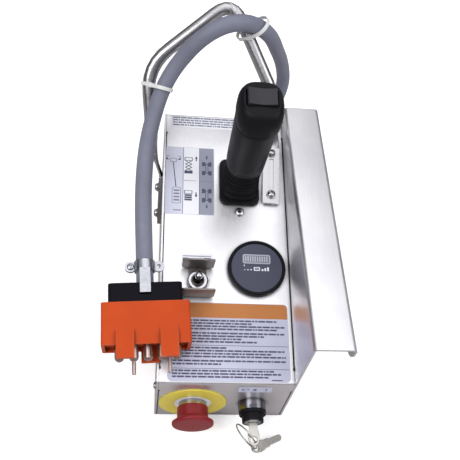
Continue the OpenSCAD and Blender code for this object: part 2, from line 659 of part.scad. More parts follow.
trigger_w = 13;
trigger_pin_r = 1.5;
trigger_top = grip_seam - 8;
trigger_len = 27;
trigger_reach = 7;
trigger_pin_s = grip_depth / 2 - 6;
trigger_slot_d = 12;
trigger_boss_r = 4;
module grip_body() color("black") on_panel(stick_x, stick_s) difference() {
    lofted_grip(grip_low, grip_seam, grip_shares, 0.85);
    translate([-trigger_w / 2 - gap, grip_depth / 2 - trigger_slot_d, trigger_top - trigger_len - gap])
        cube([trigger_w + 2 * gap, 2 * trigger_slot_d, trigger_len + trigger_boss_r + 2 * gap]);
    translate([-trigger_w, trigger_pin_s, trigger_top]) rotate([0, 90, 0])
        cylinder(r = trigger_pin_r, h = 2 * trigger_w);
}

// Side view of the trigger, from its pin down, bowed outwards for a finger
module interlock_trigger() color("dimgray") on_panel(stick_x - trigger_w / 2, stick_s) rotate([90, 0, 90])
    translate([trigger_pin_s, trigger_top]) linear_extrude(height = trigger_w) difference() {
        union() {
            circle(r = trigger_boss_r);
            polygon(concat([[0, 0], [trigger_boss_r, 0]],
                [for (i = [0:6]) [trigger_boss_r + trigger_reach * sin(25 * i), -trigger_len * (0.1 + 0.8 * i / 6)]],
                [[trigger_boss_r, -trigger_len], [0, -trigger_len]]));
        }
        circle(r = trigger_pin_r + 0.05);
    }
module trigger_pin() color("silver") on_panel(stick_x - trigger_w, stick_s + trigger_pin_s, trigger_top)
    rotate([0, 90, 0]) cylinder(r = trigger_pin_r, h = 2 * trigger_w);

rocker_w = 25;
rocker_l = 16;
rocker_pin_r = 1.5;
rocker_pin_drop = 4;
rocker_pocket_d = 9;
rocker_play = 1.3;
rocker_rise = 3.4;
rocker_s = 3;
module at_rocker() on_panel(stick_x, stick_s + rocker_s, grip_top - rocker_pin_drop) children();
module grip_head() color("black") difference() {
    on_panel(stick_x, stick_s) lofted_grip(grip_seam + gap, grip_top, head_shares, 0.7);
    at_rocker() {
        translate([-rocker_w / 2 - rocker_play, -rocker_l / 2 - gap, rocker_pin_drop - rocker_pocket_d])
            cube([rocker_w + 2 * rocker_play, rocker_l + 2 * gap, rocker_pocket_d + over]);
        translate([0, rocker_l, 0]) rotate([90, 0, 0]) cylinder(r = rocker_pin_r, h = 2 * rocker_l);
    }
}

// End view of the thumb rocker: two raised wings with a shallow valley between
module steering_rocker() color("dimgray") at_rocker() translate([0, rocker_l / 2, 0]) rotate([90, 0, 0])
    linear_extrude(height = rocker_l) let (w = rocker_w / 2, top = rocker_pin_drop + rocker_rise)
        difference() {
            polygon([[-w, rocker_pin_drop / 2], [-w * 0.5, -rocker_pin_drop * 0.6], [w * 0.5, -rocker_pin_drop * 0.6],
                [w, rocker_pin_drop / 2], [w, top - rocker_pin_r], [w * 0.92, top], [w * 0.5, top - rocker_pin_r * 0.7],
                [0, top - rocker_pin_r], [-w * 0.5, top - rocker_pin_r * 0.7], [-w * 0.92, top], [-w, top - rocker_pin_r]]);
            circle(r = rocker_pin_r + 0.05);
        }
module rocker_pin() color("silver") at_rocker() translate([0, rocker_l * 0.75, 0]) rotate([90, 0, 0])
    cylinder(r = rocker_pin_r, h = 1.5 * rocker_l);

// Emergency stop

legend_t = 1;
collar_r = 13.2;
collar_h = 5;
estop_thread_r = 11;
estop_bore_r = 6.5;
estop_back = 26;
plunger_r = 6.1;
module estop_legend() color("gold") on_front(estop_x, estop_z)
    ring_of(legend_d / 2, estop_hole_r, 0, legend_t);
module estop_collar() color("silver") on_front(estop_x, estop_z)
    ring_of(collar_r, estop_thread_r + gap, legend_t, legend_t + collar_h);
module estop_body() color("dimgray") on_front(estop_x, estop_z)
    ring_of(estop_thread_r, estop_bore_r, -estop_back, collar_h + legend_t);
estop_nut_r = 14.5;
estop_nut_t = 5;
module estop_nut() color("silver") on_front(estop_x, estop_z)
    ring_of(estop_nut_r, estop_thread_r + gap, -sheet - estop_nut_t, -sheet);
estop_block = [30, 40, 34];
module estop_contacts() color("dimgray") on_front(estop_x, estop_z) difference() {
    translate([-estop_block[0] / 2, -estop_block[1] / 2 + sheet, -estop_back - estop_block[2]])
        cube([estop_block[0], estop_block[1] - 2 * sheet, estop_block[2]]);
    translate([0, 0, -estop_back - estop_travel - plunger_r]) cylinder(r = estop_bore_r, h = 2 * estop_back);
}
plunger_low = estop_back + estop_travel / 4;
skirt_low = legend_t + collar_h - seat_gap;
skirt_r = 14.6;
skirt_in_r = 13.6;
neck_top = 14.7;
module estop_plunger() color("dimgray") on_front(estop_x, estop_z)
    translate([0, 0, -plunger_low]) cylinder(r = plunger_r, h = plunger_low + neck_top - gap);
// The skirt of the head runs over the collar as the head is pressed
mushroom_dome = 2.4;
mushroom_edge = 1.4;
module estop_head() color("firebrick") on_front(estop_x, estop_z) rotate_extrude()
    let (r = mushroom_d / 2, top = mushroom_reach + mushroom_dome) polygon(concat(
        [[0, neck_top], [plunger_r + gap, neck_top], [plunger_r + gap, legend_t + collar_h + estop_travel + gap],
         [skirt_in_r, legend_t + collar_h + estop_travel + gap], [skirt_in_r, skirt_low], [skirt_r, skirt_low],
         [skirt_r, neck_top - mushroom_edge]],
        [for (i = [0:4]) [mix(skirt_r, r, 1 - cos(22.5 * i)), mix(neck_top, mushroom_reach - mushroom_edge, sin(22.5 * i))]],
        arc([r - mushroom_edge, mushroom_reach], mushroom_edge, 0, 60, 4),
        [for (i = [1:6]) [(r - mushroom_edge) * cos(15 * i), mix(mushroom_reach + mushroom_edge, top, sin(15 * i))]]));

// Key switch, its key, the ring and the spare key

key_bezel_h = 9;
key_knurl_r = 12.7;
key_knurl_h = 3;
key_nose_r = 10.2;
key_thread_r = 9.2;
key_back = 22;
lock_bore_r = 8.2;
lock_r = 8;
key_bezel_sides = 12;
module key_bezel() color("silver") on_front(key_x, key_z) difference() {
    cylinder(r = key_bezel_d / 2, h = key_bezel_h, $fn = key_bezel_sides);
    translate([0, 0, -over]) cylinder(r = key_thread_r + gap, h = key_bezel_h + 2 * over);
}
module key_barrel() color("black") on_front(key_x, key_z) rotate_extrude() polygon([
    [lock_bore_r, -key_back], [key_thread_r, -key_back], [key_thread_r, key_bezel_h],
    [key_knurl_r, key_bezel_h], [key_knurl_r, key_bezel_h + key_knurl_h], [key_nose_r, key_bezel_h + key_knurl_h],
    [key_nose_r, key_reach - gap], [lock_bore_r, key_reach - gap]]);
key_nut_r = 12;
key_nut_t = 4;
module key_nut() color("silver") on_front(key_x, key_z)
    ring_of(key_nut_r, key_thread_r + gap, -sheet - key_nut_t, -sheet);
key_block = [26, 30, 20];
module key_contacts() color("dimgray") on_front(key_x, key_z) difference() {
    translate([-key_block[0] / 2, -key_block[1] / 2, -key_back - key_block[2]]) cube(key_block);
    translate([0, 0, -key_back - lock_r / 2]) cylinder(r = lock_bore_r, h = key_back);
}

key_t = 1.8;
blade_w = 6;
blade_l = 17;
shoulder_w = 8;
shoulder_l = 2.4;
bow_hole_r = 3.2;
bow_hole_edge = 5.5;
key_play = 0.25;
module lock_plug() color("silver") on_front(key_x, key_z) difference() {
    translate([0, 0, -key_back - lock_r / 4]) cylinder(r = lock_r, h = key_back + lock_r / 4 + key_reach);
    translate([-blade_w / 2 - key_play, -key_t / 2 - key_play, key_reach - blade_l - over])
        cube([blade_w + 2 * key_play, key_t + 2 * key_play, blade_l + 2 * over]);
}
// A flat key in the XY plane, middle of its bow hole at zero, the blade towards -Y
hole_to_shoulder = bow_l - bow_hole_edge + shoulder_l;
module flat_key() translate([0, 0, -key_t / 2]) linear_extrude(height = key_t) difference() {
    translate([0, -hole_to_shoulder]) union() {
        translate([0, shoulder_l + bow_l / 2]) polygon(oval(bow_w / 2, bow_l / 2));
        translate([-shoulder_w / 2, 0]) square([shoulder_w, shoulder_l * 2]);
        polygon([[-blade_w / 2, shoulder_l], [-blade_w / 2, -blade_l + blade_w / 3], [-blade_w / 6, -blade_l],
                 [blade_w / 6, -blade_l], [blade_w / 2, -blade_l + blade_w / 3], [blade_w / 2, shoulder_l]]);
    }
    circle(r = bow_hole_r);
}
key_stand_off = 0.4;
key_hole = [key_x, -box_l / 2 - key_reach - key_stand_off - hole_to_shoulder, key_z];
module ignition_key() color("silver") translate(key_hole) rotate([0, 0, 180]) flat_key();

// The split ring crosses the key's plane twice, in the bow hole and past the bow's side
ring_r = 14;
ring_wire_r = 0.7;
ring_drop = 11.1;
ring_turn = 130;
ring_lean = 4;
ring_half_chord = sqrt(ring_r * ring_r - ring_drop * ring_drop);
module at_ring() translate(key_hole) rotate([0, 0, ring_turn]) rotate([-ring_lean, 0, 0]) children();
module key_ring() color("silver") at_ring() translate([ring_half_chord, 0, -ring_drop]) rotate([90, 0, 0])
    rotate_extrude() translate([ring_r, 0]) circle(r = ring_wire_r, $fn = 16);

// The spare key hangs on the front of the ring and leans until its tip is near the ground
spare_turn = 28;
spare_roll = 25;
spare_tip_z = 2.7;
spare_angle = 28;
ring_across = [cos(ring_turn), sin(ring_turn), 0];
ring_down = [sin(ring_lean) * sin(ring_turn), -sin(ring_lean) * cos(ring_turn), -cos(ring_lean)];
spare_hole = key_hole + (ring_half_chord - ring_r * cos(spare_angle)) * ring_across
    + (ring_drop + ring_r * sin(spare_angle)) * ring_down;
// How far the key slides down until the edge of its hole rests on the wire
spare_slip = 1.8;
spare_lean = asin((spare_hole[2] - spare_tip_z) / (hole_to_shoulder + blade_l + spare_slip));
module spare_key() color("silver") translate(spare_hole) rotate([0, 0, spare_turn]) rotate([0, spare_lean, 0])
    rotate([spare_roll, 0, 0]) rotate([0, 0, 90]) translate([0, -spare_slip, 0]) flat_key();

// Control cable with its gland, ties and plug

gland_flats = 24;
gland_hex_h = 6;
gland_thread_l = 12;
gland_bore_r = cable_d / 2 + gap;
gland_cap_h = 24;
gland_cap_r = 11.6;
gland_mouth_r = 10;
module gland_body() color("dimgray") on_back(gland_x, gland_z) difference() {
    union() {
        hex(gland_flats, gland_hex_h);
        translate([0, 0, -gland_thread_l]) cylinder(r = gland_thread_r, h = gland_thread_l + over);
    }
    translate([0, 0, -gland_thread_l - over]) cylinder(r = gland_bore_r, h = gland_thread_l + gland_hex_h + 2 * over);
}
module gland_cap() color("dimgray") on_back(gland_x, gland_z) rotate_extrude() polygon([
    [gland_bore_r, gland_hex_h], [gland_cap_r, gland_hex_h], [gland_cap_r, gland_hex_h + gland_cap_h / 2],
    [gland_mouth_r, gland_hex_h + gland_cap_h], [gland_bore_r, gland_hex_h + gland_cap_h]]);
locknut_t = 5;
locknut_r = 14;
module gland_locknut() color("silver") on_back(gland_x, gland_z)
    ring_of(locknut_r, gland_thread_r + gap, -sheet - locknut_t, -sheet);

// The plug lies across the left edge of the panel beside the toggle's guard, pins to the front
plug_s = 28;
plug_turn = 3.6;
plug_x = toggle_x - ear_w / 2 - gap - hood_w / 2 * cos(plug_turn)
    + sin(plug_turn) * (toggle_s - ear_span / 2 - plug_s);
plug_corner_r = 2.5;
plug_axis_h = 16.2;
// Middle of the cable at a distance behind the front of the plug
function plug_point(y) = panel_point(plug_x - sin(plug_turn) * y, plug_s + cos(plug_turn) * y, seat_gap + plug_axis_h);

// Points that steer the control cable, from inside the gland over the guard tube to the plug
cable_in_gland = [-24, -4, 16, 36];
cable_places = [
    [1, 1, -14.5, 59.3, 58], [1, 1, -1.5, 80.3, 58], [1, 1, 12.5, 97.3, 72], [0.9, 1, 23.85, 103.3, 96],
    [0.8, 1, 24.2, 99.3, 121], [0.6, 1, 27.9, 87.3, 147], [0.5, 1, 23.25, 72.8, 171], [0.4, 1, 20.6, 55.8, 195],
    [0.2, 1, 18.8, 34.6, 221], [0.2, 1, -1.2, 18.3, 241], [0.1, 1, -17.35, 10.3, 243], [0, 1, -33, 4.3, 230],
    [0, 1, -48, 4.3, 207], [0, 1, -59, -0.7, 191], [0, 1, -69, -12.7, 174], [0, 1, -75, -34.7, 164],
    [0, 0.5, -80, 9.15, 157], [0, 0, -82, 50, 150], [0, -0.5, -82, 93.85, 141], [0, -1, -81, 141.7, 131]];
cable_free = [for (p = cable_places) placed(p)];
cable_in_plug = [62, 50, 37, 24, 12, 0];
cable_guide = concat([for (d = cable_in_gland) [gland_x, box_l / 2 + d, gland_z]], cable_free,
    [for (d = cable_in_plug) plug_point(plug_l + d)]);
// Smooth curve steered by the points, two places to each
function smooth(p, i, t) = (pow(1 - t, 3) * p[i] + (3 * pow(t, 3) - 6 * t * t + 4) * p[i + 1]
    + (1 + 3 * t + 3 * t * t - 3 * pow(t, 3)) * p[i + 2] + pow(t, 3) * p[i + 3]) / 6;
cable_path = concat([for (i = [0:len(cable_guide) - 4]) each [smooth(cable_guide, i, 0), smooth(cable_guide, i, 0.5)]],
    [smooth(cable_guide, len(cable_guide) - 4, 1)]);
cable_sides = 12;
cable_ref = [1, 0, 0];
module control_cable() color("slategray") skin([for (i = [0:len(cable_path) - 1])
    ring(cable_path[i], heading(cable_path, i), cable_ref, cable_d / 2, cable_d / 2, cable_sides)]);

// Nylon ties that hold the cable to the guard tube: the middles of the two, the way that each tie
// faces, and its slack round them
tie_w = 3.6;
tie_t = 1;
tie_head = [5, 4, 4.6];
tie_places = [[[0, 1, -67, -11.2, 178], [-0.2, 1, -68.3, -1.7, 173]],
              [[0.2, 1, 10.3, 28.1, 228.9], [0.2, 1, 0, 32.9, 219.1]]];
tie_ways = [[-0.25, -0.63, -0.73], [0.67, -0.06, -0.74]];
tie_slack = [1.1, 3.6];
module tie_outline(far, more) hull() {
    circle(r = cable_d / 2 + more, $fn = 32);
    translate([far, 0]) circle(r = guard_d / 2 + more, $fn = 32);
}
module tie(cable_c, tube_c, way, slack) {
    far = norm(tube_c - cable_c);
    x_dir = unit(tube_c - cable_c);
    z_dir = unit(way - (way * x_dir) * x_dir);
    y_dir = cross(z_dir, x_dir);
    multmatrix([[x_dir[0], y_dir[0], z_dir[0], cable_c[0]], [x_dir[1], y_dir[1], z_dir[1], cable_c[1]],
                [x_dir[2], y_dir[2], z_dir[2], cable_c[2]], [0, 0, 0, 1]]) {
        linear_extrude(height = tie_w, center = true) difference() {
            tie_outline(far, slack + tie_t);
            tie_outline(far, slack);
        }
        translate([far / 2 - tie_head[0] / 2, -guard_d / 2 - slack - tie_t - tie_head[1] / 2, -tie_head[2] / 2])
            cube(tie_head);
    }
}
module cable_ties() color("white") for (i = [0, 1])
    tie(placed(tie_places[i][0]), placed(tie_places[i][1]), tie_ways[i], tie_slack[i]);

module at_plug() on_panel(plug_x, plug_s, seat_gap) rotate([0, 0, plug_turn]) children();
latch_w = 15.5;
latch_x = 19;
latch_mid = 0.6;
latch_ramp_back = 15;
latch_ramp_front = 7;
latch_front = 12;
latch_h = 3;
latch_t = 6;
tongue = [16, 11, 4];
mouth_d = 4;
mouth_wall = 3;
module plug_body() color("orangered") at_plug() {
    difference() {
        translate([0, plug_l, 0]) rotate([90, 0, 0]) linear_extrude(height = plug_l)
            translate([0, plug_h / 2]) polygon(round_rect(plug_w, plug_h, plug_corner_r));
        translate([mouth_wall - plug_w / 2, -over, mouth_wall])
            cube([plug_w - 2 * mouth_wall, mouth_d + over, plug_h - 2 * mouth_wall]);
        for (i = [-2:2]) translate([pin_x(i), pin_in, pin_z]) rotate([90, 0, 0])
            cylinder(r = pin_d / 2, h = pin_in + over);
        translate([guide_x, pin_in, pin_z]) rotate([90, 0, 0]) cylinder(r = guide_d / 2, h = pin_in + over);
    }
    for (side = [-1, 1]) translate([side * latch_x + latch_mid - latch_w / 2, 0, plug_h]) rotate([90, 0, 90])
        linear_extrude(height = latch_w) polygon([[latch_ramp_back, 0], [latch_ramp_front, latch_h],
            [-latch_front, latch_h], [-latch_front, latch_h - latch_t], [0, latch_h - latch_t], [0, 0]]);
    translate([latch_mid - tongue[0] / 3, -tongue[1], mouth_wall / 2]) cube([tongue[0], tongue[1] + mouth_d, tongue[2]]);
}

hood_r = 4;
hood_h = plug_h - 2;
hood_slot = [10.5, 4, 6];
hood_slot_y = 7;
hood_bore_d = 6;
module plug_hood() color("black") at_plug() difference() {
    translate([0, plug_l + hood_l, 0]) rotate([90, 0, 0]) linear_extrude(height = hood_l)
        translate([0, hood_h / 2 + seat_gap]) polygon(round_rect(hood_w, hood_h, hood_r));
    translate([0, plug_l + hood_l + over, plug_axis_h]) rotate([90, 0, 0])
        cylinder(r = gland_bore_r, h = hood_bore_d + over);
    translate([-hood_slot[0] / 2, plug_l + hood_slot_y, hood_h - hood_slot[2] + seat_gap])
        cube([hood_slot[0], hood_slot[1], hood_slot[2] + over]);
}

pin_mid = 1.2;
pin_z = 14.5;
pin_out = 12;
pin_in = 12;
function pin_x(i) = pin_mid + i * pin_pitch;
module plug_pins() color("rosybrown") at_plug() {
    for (i = [-2:2]) translate([pin_x(i), pin_in, pin_z])
        rotate([90, 0, 0]) rotate_extrude() polygon(concat([[0, 0], [pin_d / 2, 0]],
            arc([0, pin_in + pin_out - pin_d / 2], pin_d / 2, 0, 90)));
    // One pin carries a thin rod on its end
    translate([pin_x(-1), 0, pin_z]) rotate([90, 0, 0]) cylinder(d = guide_d, h = guide_out);
}
guide_d = 3.4;
guide_out = 23;
guide_x = pin_x(1) + pin_pitch / 2;
module guide_pin() color("gray") at_plug()
    translate([guide_x, pin_in, pin_z]) rotate([90, 0, 0]) cylinder(d = guide_d, h = pin_in + guide_out);

clamp_y = plug_l + hood_l + 19;
clamp_len = 9.7;
clamp_t = 1.3;
ear_r = 5.2;
ear_x = 13;
clamp_hole_r = 1.9;
clamp_r = cable_d / 2 + gap;
// Half of a two-screw saddle round the cable
function half_band(r) = [for (i = [0:16]) r * [cos(11.25 * i), sin(11.25 * i)]];
module saddle_half() {
    translate([0, clamp_len / 2, 0]) rotate([90, 0, 0]) linear_extrude(height = clamp_len)
        polygon(concat(half_band(clamp_r + clamp_t), reversed(half_band(clamp_r))));
    for (side = [-1, 1]) difference() {
        translate([side * ear_x, 0, 0]) cylinder(r = ear_r, h = clamp_t);
        translate([side * ear_x, 0, -over]) cylinder(r = clamp_hole_r, h = clamp_t + 2 * over);
        translate([side * clamp_r - ear_r, -ear_x, -over]) cube([2 * ear_r, 2 * ear_x, over]);
        translate([-clamp_r - clamp_t / 2, -ear_x, -over]) cube([2 * clamp_r + clamp_t, 2 * ear_x, clamp_t + 2 * over]);
    }
}
strip_back = clamp_y - clamp_len / 2;
strip_top = plug_axis_h + clamp_r + clamp_t;
slot_mid = plug_l + hood_slot_y + hood_slot[1] / 2;
strip_foot = hood_h + seat_gap * 2;
module cord_clamp() color("silver") at_plug() {
    translate([0, clamp_y, plug_axis_h + seat_gap]) saddle_half();
    translate([0, clamp_y, plug_axis_h - seat_gap]) rotate([0, 180, 0]) saddle_half();
    // Strip from the saddle to the slot in the hood
    translate([-clamp_len / 2, 0, 0]) rotate([90, 0, 90]) linear_extrude(height = clamp_len) polygon([
        [strip_back + clamp_t, strip_top], [strip_back + clamp_t, strip_top - clamp_t],
        [strip_back - clamp_t, strip_top - clamp_t], [plug_l + hood_l + clamp_t, strip_foot],
        [slot_mid + clamp_t / 2, strip_foot], [slot_mid + clamp_t / 2, hood_h - hood_slot[2] / 2],
        [slot_mid - clamp_t / 2, hood_h - hood_slot[2] / 2], [slot_mid - clamp_t / 2, strip_foot + clamp_t],
        [plug_l + hood_l + clamp_t, strip_foot + clamp_t], [strip_back - clamp_t, strip_top]]);
}
clamp_screw_d = 3.4;
clamp_screw_head_d = 6.4;
clamp_screw_head_h = 2;
clamp_screw_l = 7;
module clamp_screws() color("silver") at_plug() translate([-ear_x, clamp_y, plug_axis_h + seat_gap + clamp_t])
    button_screw(clamp_screw_d, clamp_screw_head_d, clamp_screw_head_h, clamp_screw_l);

// Control board inside the box

board = [80, 110, 1.6];
board_y = 15;
standoff_h = 8;
standoff_r = 3;
standoff_inset = 6;
module at_board() translate([0, board_y, sheet]) children();
module board_standoffs() color("silver") at_board() for (x = [-1, 1]) for (y = [-1, 1])
    translate([x * (board[0] / 2 - standoff_inset), y * (board[1] / 2 - standoff_inset), 0])
        cylinder(r = standoff_r, h = standoff_h);
module circuit_board() color("darkgreen") at_board() translate([-board[0] / 2, -board[1] / 2, standoff_h]) cube(board);
relay = [16, 20, 16];
relay_pitch = 24;
terminal_strip = [70, 12, 12];
module board_relays() color("black") at_board() {
    for (x = [-1, 1]) for (y = [-1, 1])
        translate([x * relay_pitch / 2 - relay[0] / 2, y * relay_pitch / 2 - relay[1] / 2, standoff_h + board[2]])
            cube(relay);
    for (y = [-1, 1]) translate([-terminal_strip[0] / 2,
            y * (board[1] / 2 - terminal_strip[1]) - terminal_strip[1] / 2, standoff_h + board[2]])
        cube(terminal_strip);
}

top_shell();
left_side_plate();
hook_plate();
bottom_cover();
cover_screws();
guard_tube();
guard_screws();
gauge_bezel();
gauge_face();
gauge_body();
gauge_clamp();
toggle_guard();
toggle_washer();
toggle_nut();
toggle_body();
toggle_lever();
joystick_base();
joystick_housing();
joystick_screws();
joystick_boot();
pivot_pin();
joystick_shaft();
grip_body();
grip_head();
steering_rocker();
rocker_pin();
interlock_trigger();
trigger_pin();
estop_legend();
estop_collar();
estop_body();
estop_nut();
estop_contacts();
estop_plunger();
estop_head();
key_bezel();
key_barrel();
key_nut();
key_contacts();
lock_plug();
ignition_key();
key_ring();
spare_key();
gland_body();
gland_cap();
gland_locknut();
control_cable();
cable_ties();
plug_hood();
plug_body();
plug_pins();
guide_pin();
cord_clamp();
clamp_screws();
circuit_board();
board_relays();
board_standoffs();
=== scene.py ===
import json
import math

import bpy
from mathutils import Matrix, Vector


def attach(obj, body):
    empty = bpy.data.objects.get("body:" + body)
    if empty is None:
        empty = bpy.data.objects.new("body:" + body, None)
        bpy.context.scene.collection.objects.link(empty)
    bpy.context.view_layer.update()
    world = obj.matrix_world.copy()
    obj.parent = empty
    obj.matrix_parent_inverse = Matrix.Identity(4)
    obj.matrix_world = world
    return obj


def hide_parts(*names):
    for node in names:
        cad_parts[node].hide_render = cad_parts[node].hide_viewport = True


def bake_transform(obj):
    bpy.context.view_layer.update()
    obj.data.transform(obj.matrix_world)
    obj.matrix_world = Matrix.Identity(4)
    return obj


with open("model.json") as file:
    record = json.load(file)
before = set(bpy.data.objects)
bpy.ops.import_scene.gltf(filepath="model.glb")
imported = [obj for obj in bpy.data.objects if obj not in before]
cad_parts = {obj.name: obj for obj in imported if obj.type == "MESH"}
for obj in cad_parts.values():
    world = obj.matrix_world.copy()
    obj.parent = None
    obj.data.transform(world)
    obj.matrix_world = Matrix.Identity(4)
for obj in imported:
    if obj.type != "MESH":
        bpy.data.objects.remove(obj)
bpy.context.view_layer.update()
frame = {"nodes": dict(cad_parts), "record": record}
nodes = frame["nodes"]
scene = bpy.context.scene

# The box in millimetres, and one millimetre in metres
MM = 0.001
BOX_L, FRONT_H, BACK_H = 279.4, 78.4, 134.75
SLOPE = math.atan((BACK_H - FRONT_H) / BOX_L)
PANEL_L = BOX_L / math.cos(SLOPE)
PANEL = (Matrix.Translation((0, -BOX_L / 2 * MM, FRONT_H * MM))
         @ Matrix.Rotation(SLOPE, 4, "X"))


def on_panel(x, s, h=0.0):
    """Point on the sloped panel: across it, up the slope from its front edge, above it."""
    return PANEL @ Vector((x * MM, s * MM, h * MM))


def on_front(x, z, h=0.0):
    """Point on the front face: across it, above the floor, in front of it."""
    return Vector((x * MM, (-BOX_L / 2 - h) * MM, z * MM))


# ---------------------------------------------------------------- camera
# Picture size and centre of view in pixels, focal length in pixels, axes and place in metres
IMAGE, SENSOR = 460, 36
F, CX, CY = 633.31, 219.77, 242.66
RIGHT = (0.99355, -0.02955, 0.10946)
UP = (-0.03802, 0.8227, 0.5672)
BACK = (-0.10681, -0.56771, 0.81627)
CAMERA_AT = (-0.07235, -0.35649, 0.61072)
NEAREST = 0.02
cam_data = bpy.data.cameras.new("view")
cam = bpy.data.objects.new("view", cam_data)
scene.collection.objects.link(cam)
cam.matrix_world = Matrix((*zip(RIGHT, UP, BACK, CAMERA_AT), (0, 0, 0, 1)))
cam_data.sensor_width = SENSOR
cam_data.lens = F / IMAGE * SENSOR
cam_data.shift_x = (IMAGE / 2 - CX) / IMAGE
cam_data.shift_y = (CY - IMAGE / 2) / IMAGE
cam_data.clip_start = NEAREST
scene.camera = cam

# ---------------------------------------------------------------- cable
# Gland, toggle and plug in millimetres, as they lie in the CAD
GLAND_X, GLAND_Z = 46.0, 62.0
EAR_W, EAR_SPAN, TOGGLE_X, TOGGLE_S = 30.5, 30.5, -28.0, PANEL_L * 0.335
PLUG_L, HOOD_W, PLUG_S, PLUG_TURN = 38.0, 66.0, 28.0, math.radians(3.6)
SIDE_GAP, SEAT_GAP, CORD_H = 0.3, 0.2, 16.2
PLUG_X = (TOGGLE_X - EAR_W / 2 - SIDE_GAP - HOOD_W / 2 * math.cos(PLUG_TURN)
          + math.sin(PLUG_TURN) * (TOGGLE_S - EAR_SPAN / 2 - PLUG_S))
PLUG = (PANEL @ Matrix.Translation((PLUG_X * MM, PLUG_S * MM, SEAT_GAP * MM))
        @ Matrix.Rotation(PLUG_TURN, 4, "Z"))
# Points that steer the cable: behind the back wall, free in the air, behind the plug
IN_GLAND = (-24, -4, 16, 36)
FREE = [
    (49, 199, 58), (62, 220, 58), (76, 237, 72), (81, 243, 96), (75, 239, 121),
    (66, 227, 147), (55, 212.5, 171), (46, 195.5, 195), (31.5, 174.3, 221), (11.5, 158, 241),
    (-11, 150, 243), (-33, 144, 230), (-48, 144, 207), (-59, 139, 191), (-69, 127, 174),
    (-75, 105, 164), (-80, 79, 157), (-82, 50, 150), (-82, 24, 141), (-81, 2, 131)]
IN_PLUG = (62, 50, 37, 24, 12, 0)
STEPS, JACKET_R, JACKET_SIDES = 6, 7.95, 28


def in_plug(x, y, z):
    return PLUG @ Vector((x * MM, y * MM, z * MM))


guide = [Vector((GLAND_X, BOX_L / 2 + d, GLAND_Z)) * MM for d in IN_GLAND]
guide += [Vector(p) * MM for p in FREE]
guide += [in_plug(0, PLUG_L + d, CORD_H) for d in IN_PLUG]


def smooth(p, i, t):
    """Place on the smooth curve that the points steer, t of the way past point i + 1."""
    return (p[i] * (1 - t) ** 3 + p[i + 1] * (3 * t ** 3 - 6 * t * t + 4)
            + p[i + 2] * (1 + 3 * t + 3 * t * t - 3 * t ** 3) + p[i + 3] * t ** 3) / 6


line = [smooth(guide, i, k / STEPS) for i in range(len(guide) - 3) for k in range(STEPS)]
line.append(smooth(guide, len(guide) - 4, 1))


def link(obj):
    scene.collection.objects.link(obj)
    return obj


def mesh_object(name, verts, faces, smooth_shade=True):
    me = bpy.data.meshes.new(name)
    me.from_pydata([tuple(v) for v in verts], [], faces)
    me.validate()
    if smooth_shade:
        for f in me.polygons:
            f.use_smooth = True
    return link(bpy.data.objects.new(name, me))


def tube(name, pts, radius, sides):
    """Round tube along a path, closed at both ends, its ring axes kept from turning."""
    verts, faces = [], []
    n = len(pts)
    across = Vector((1, 0, 0))
    for i, p in enumerate(pts):
        ahead = (pts[min(i + 1, n - 1)] - pts[max(i - 1, 0)]).normalized()
        across = (across - ahead * across.dot(ahead)).normalized()
        other = ahead.cross(across)
        for k in range(sides):
            a = 2 * math.pi * k / sides
            verts.append(p + (across * math.cos(a) + other * math.sin(a)) * radius)
    for i in range(n - 1):
        for k in range(sides):
            q = (k + 1) % sides
            faces.append((i * sides + k, i * sides + q, (i + 1) * sides + q, (i + 1) * sides + k))
    faces.append(tuple(reversed(range(sides))))
    faces.append(tuple((n - 1) * sides + k for k in range(sides)))
    return mesh_object(name, verts, faces)


cable = tube("cable_jacket", line, JACKET_R * MM, JACKET_SIDES)
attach(cable, "console")
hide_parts("control_cable")


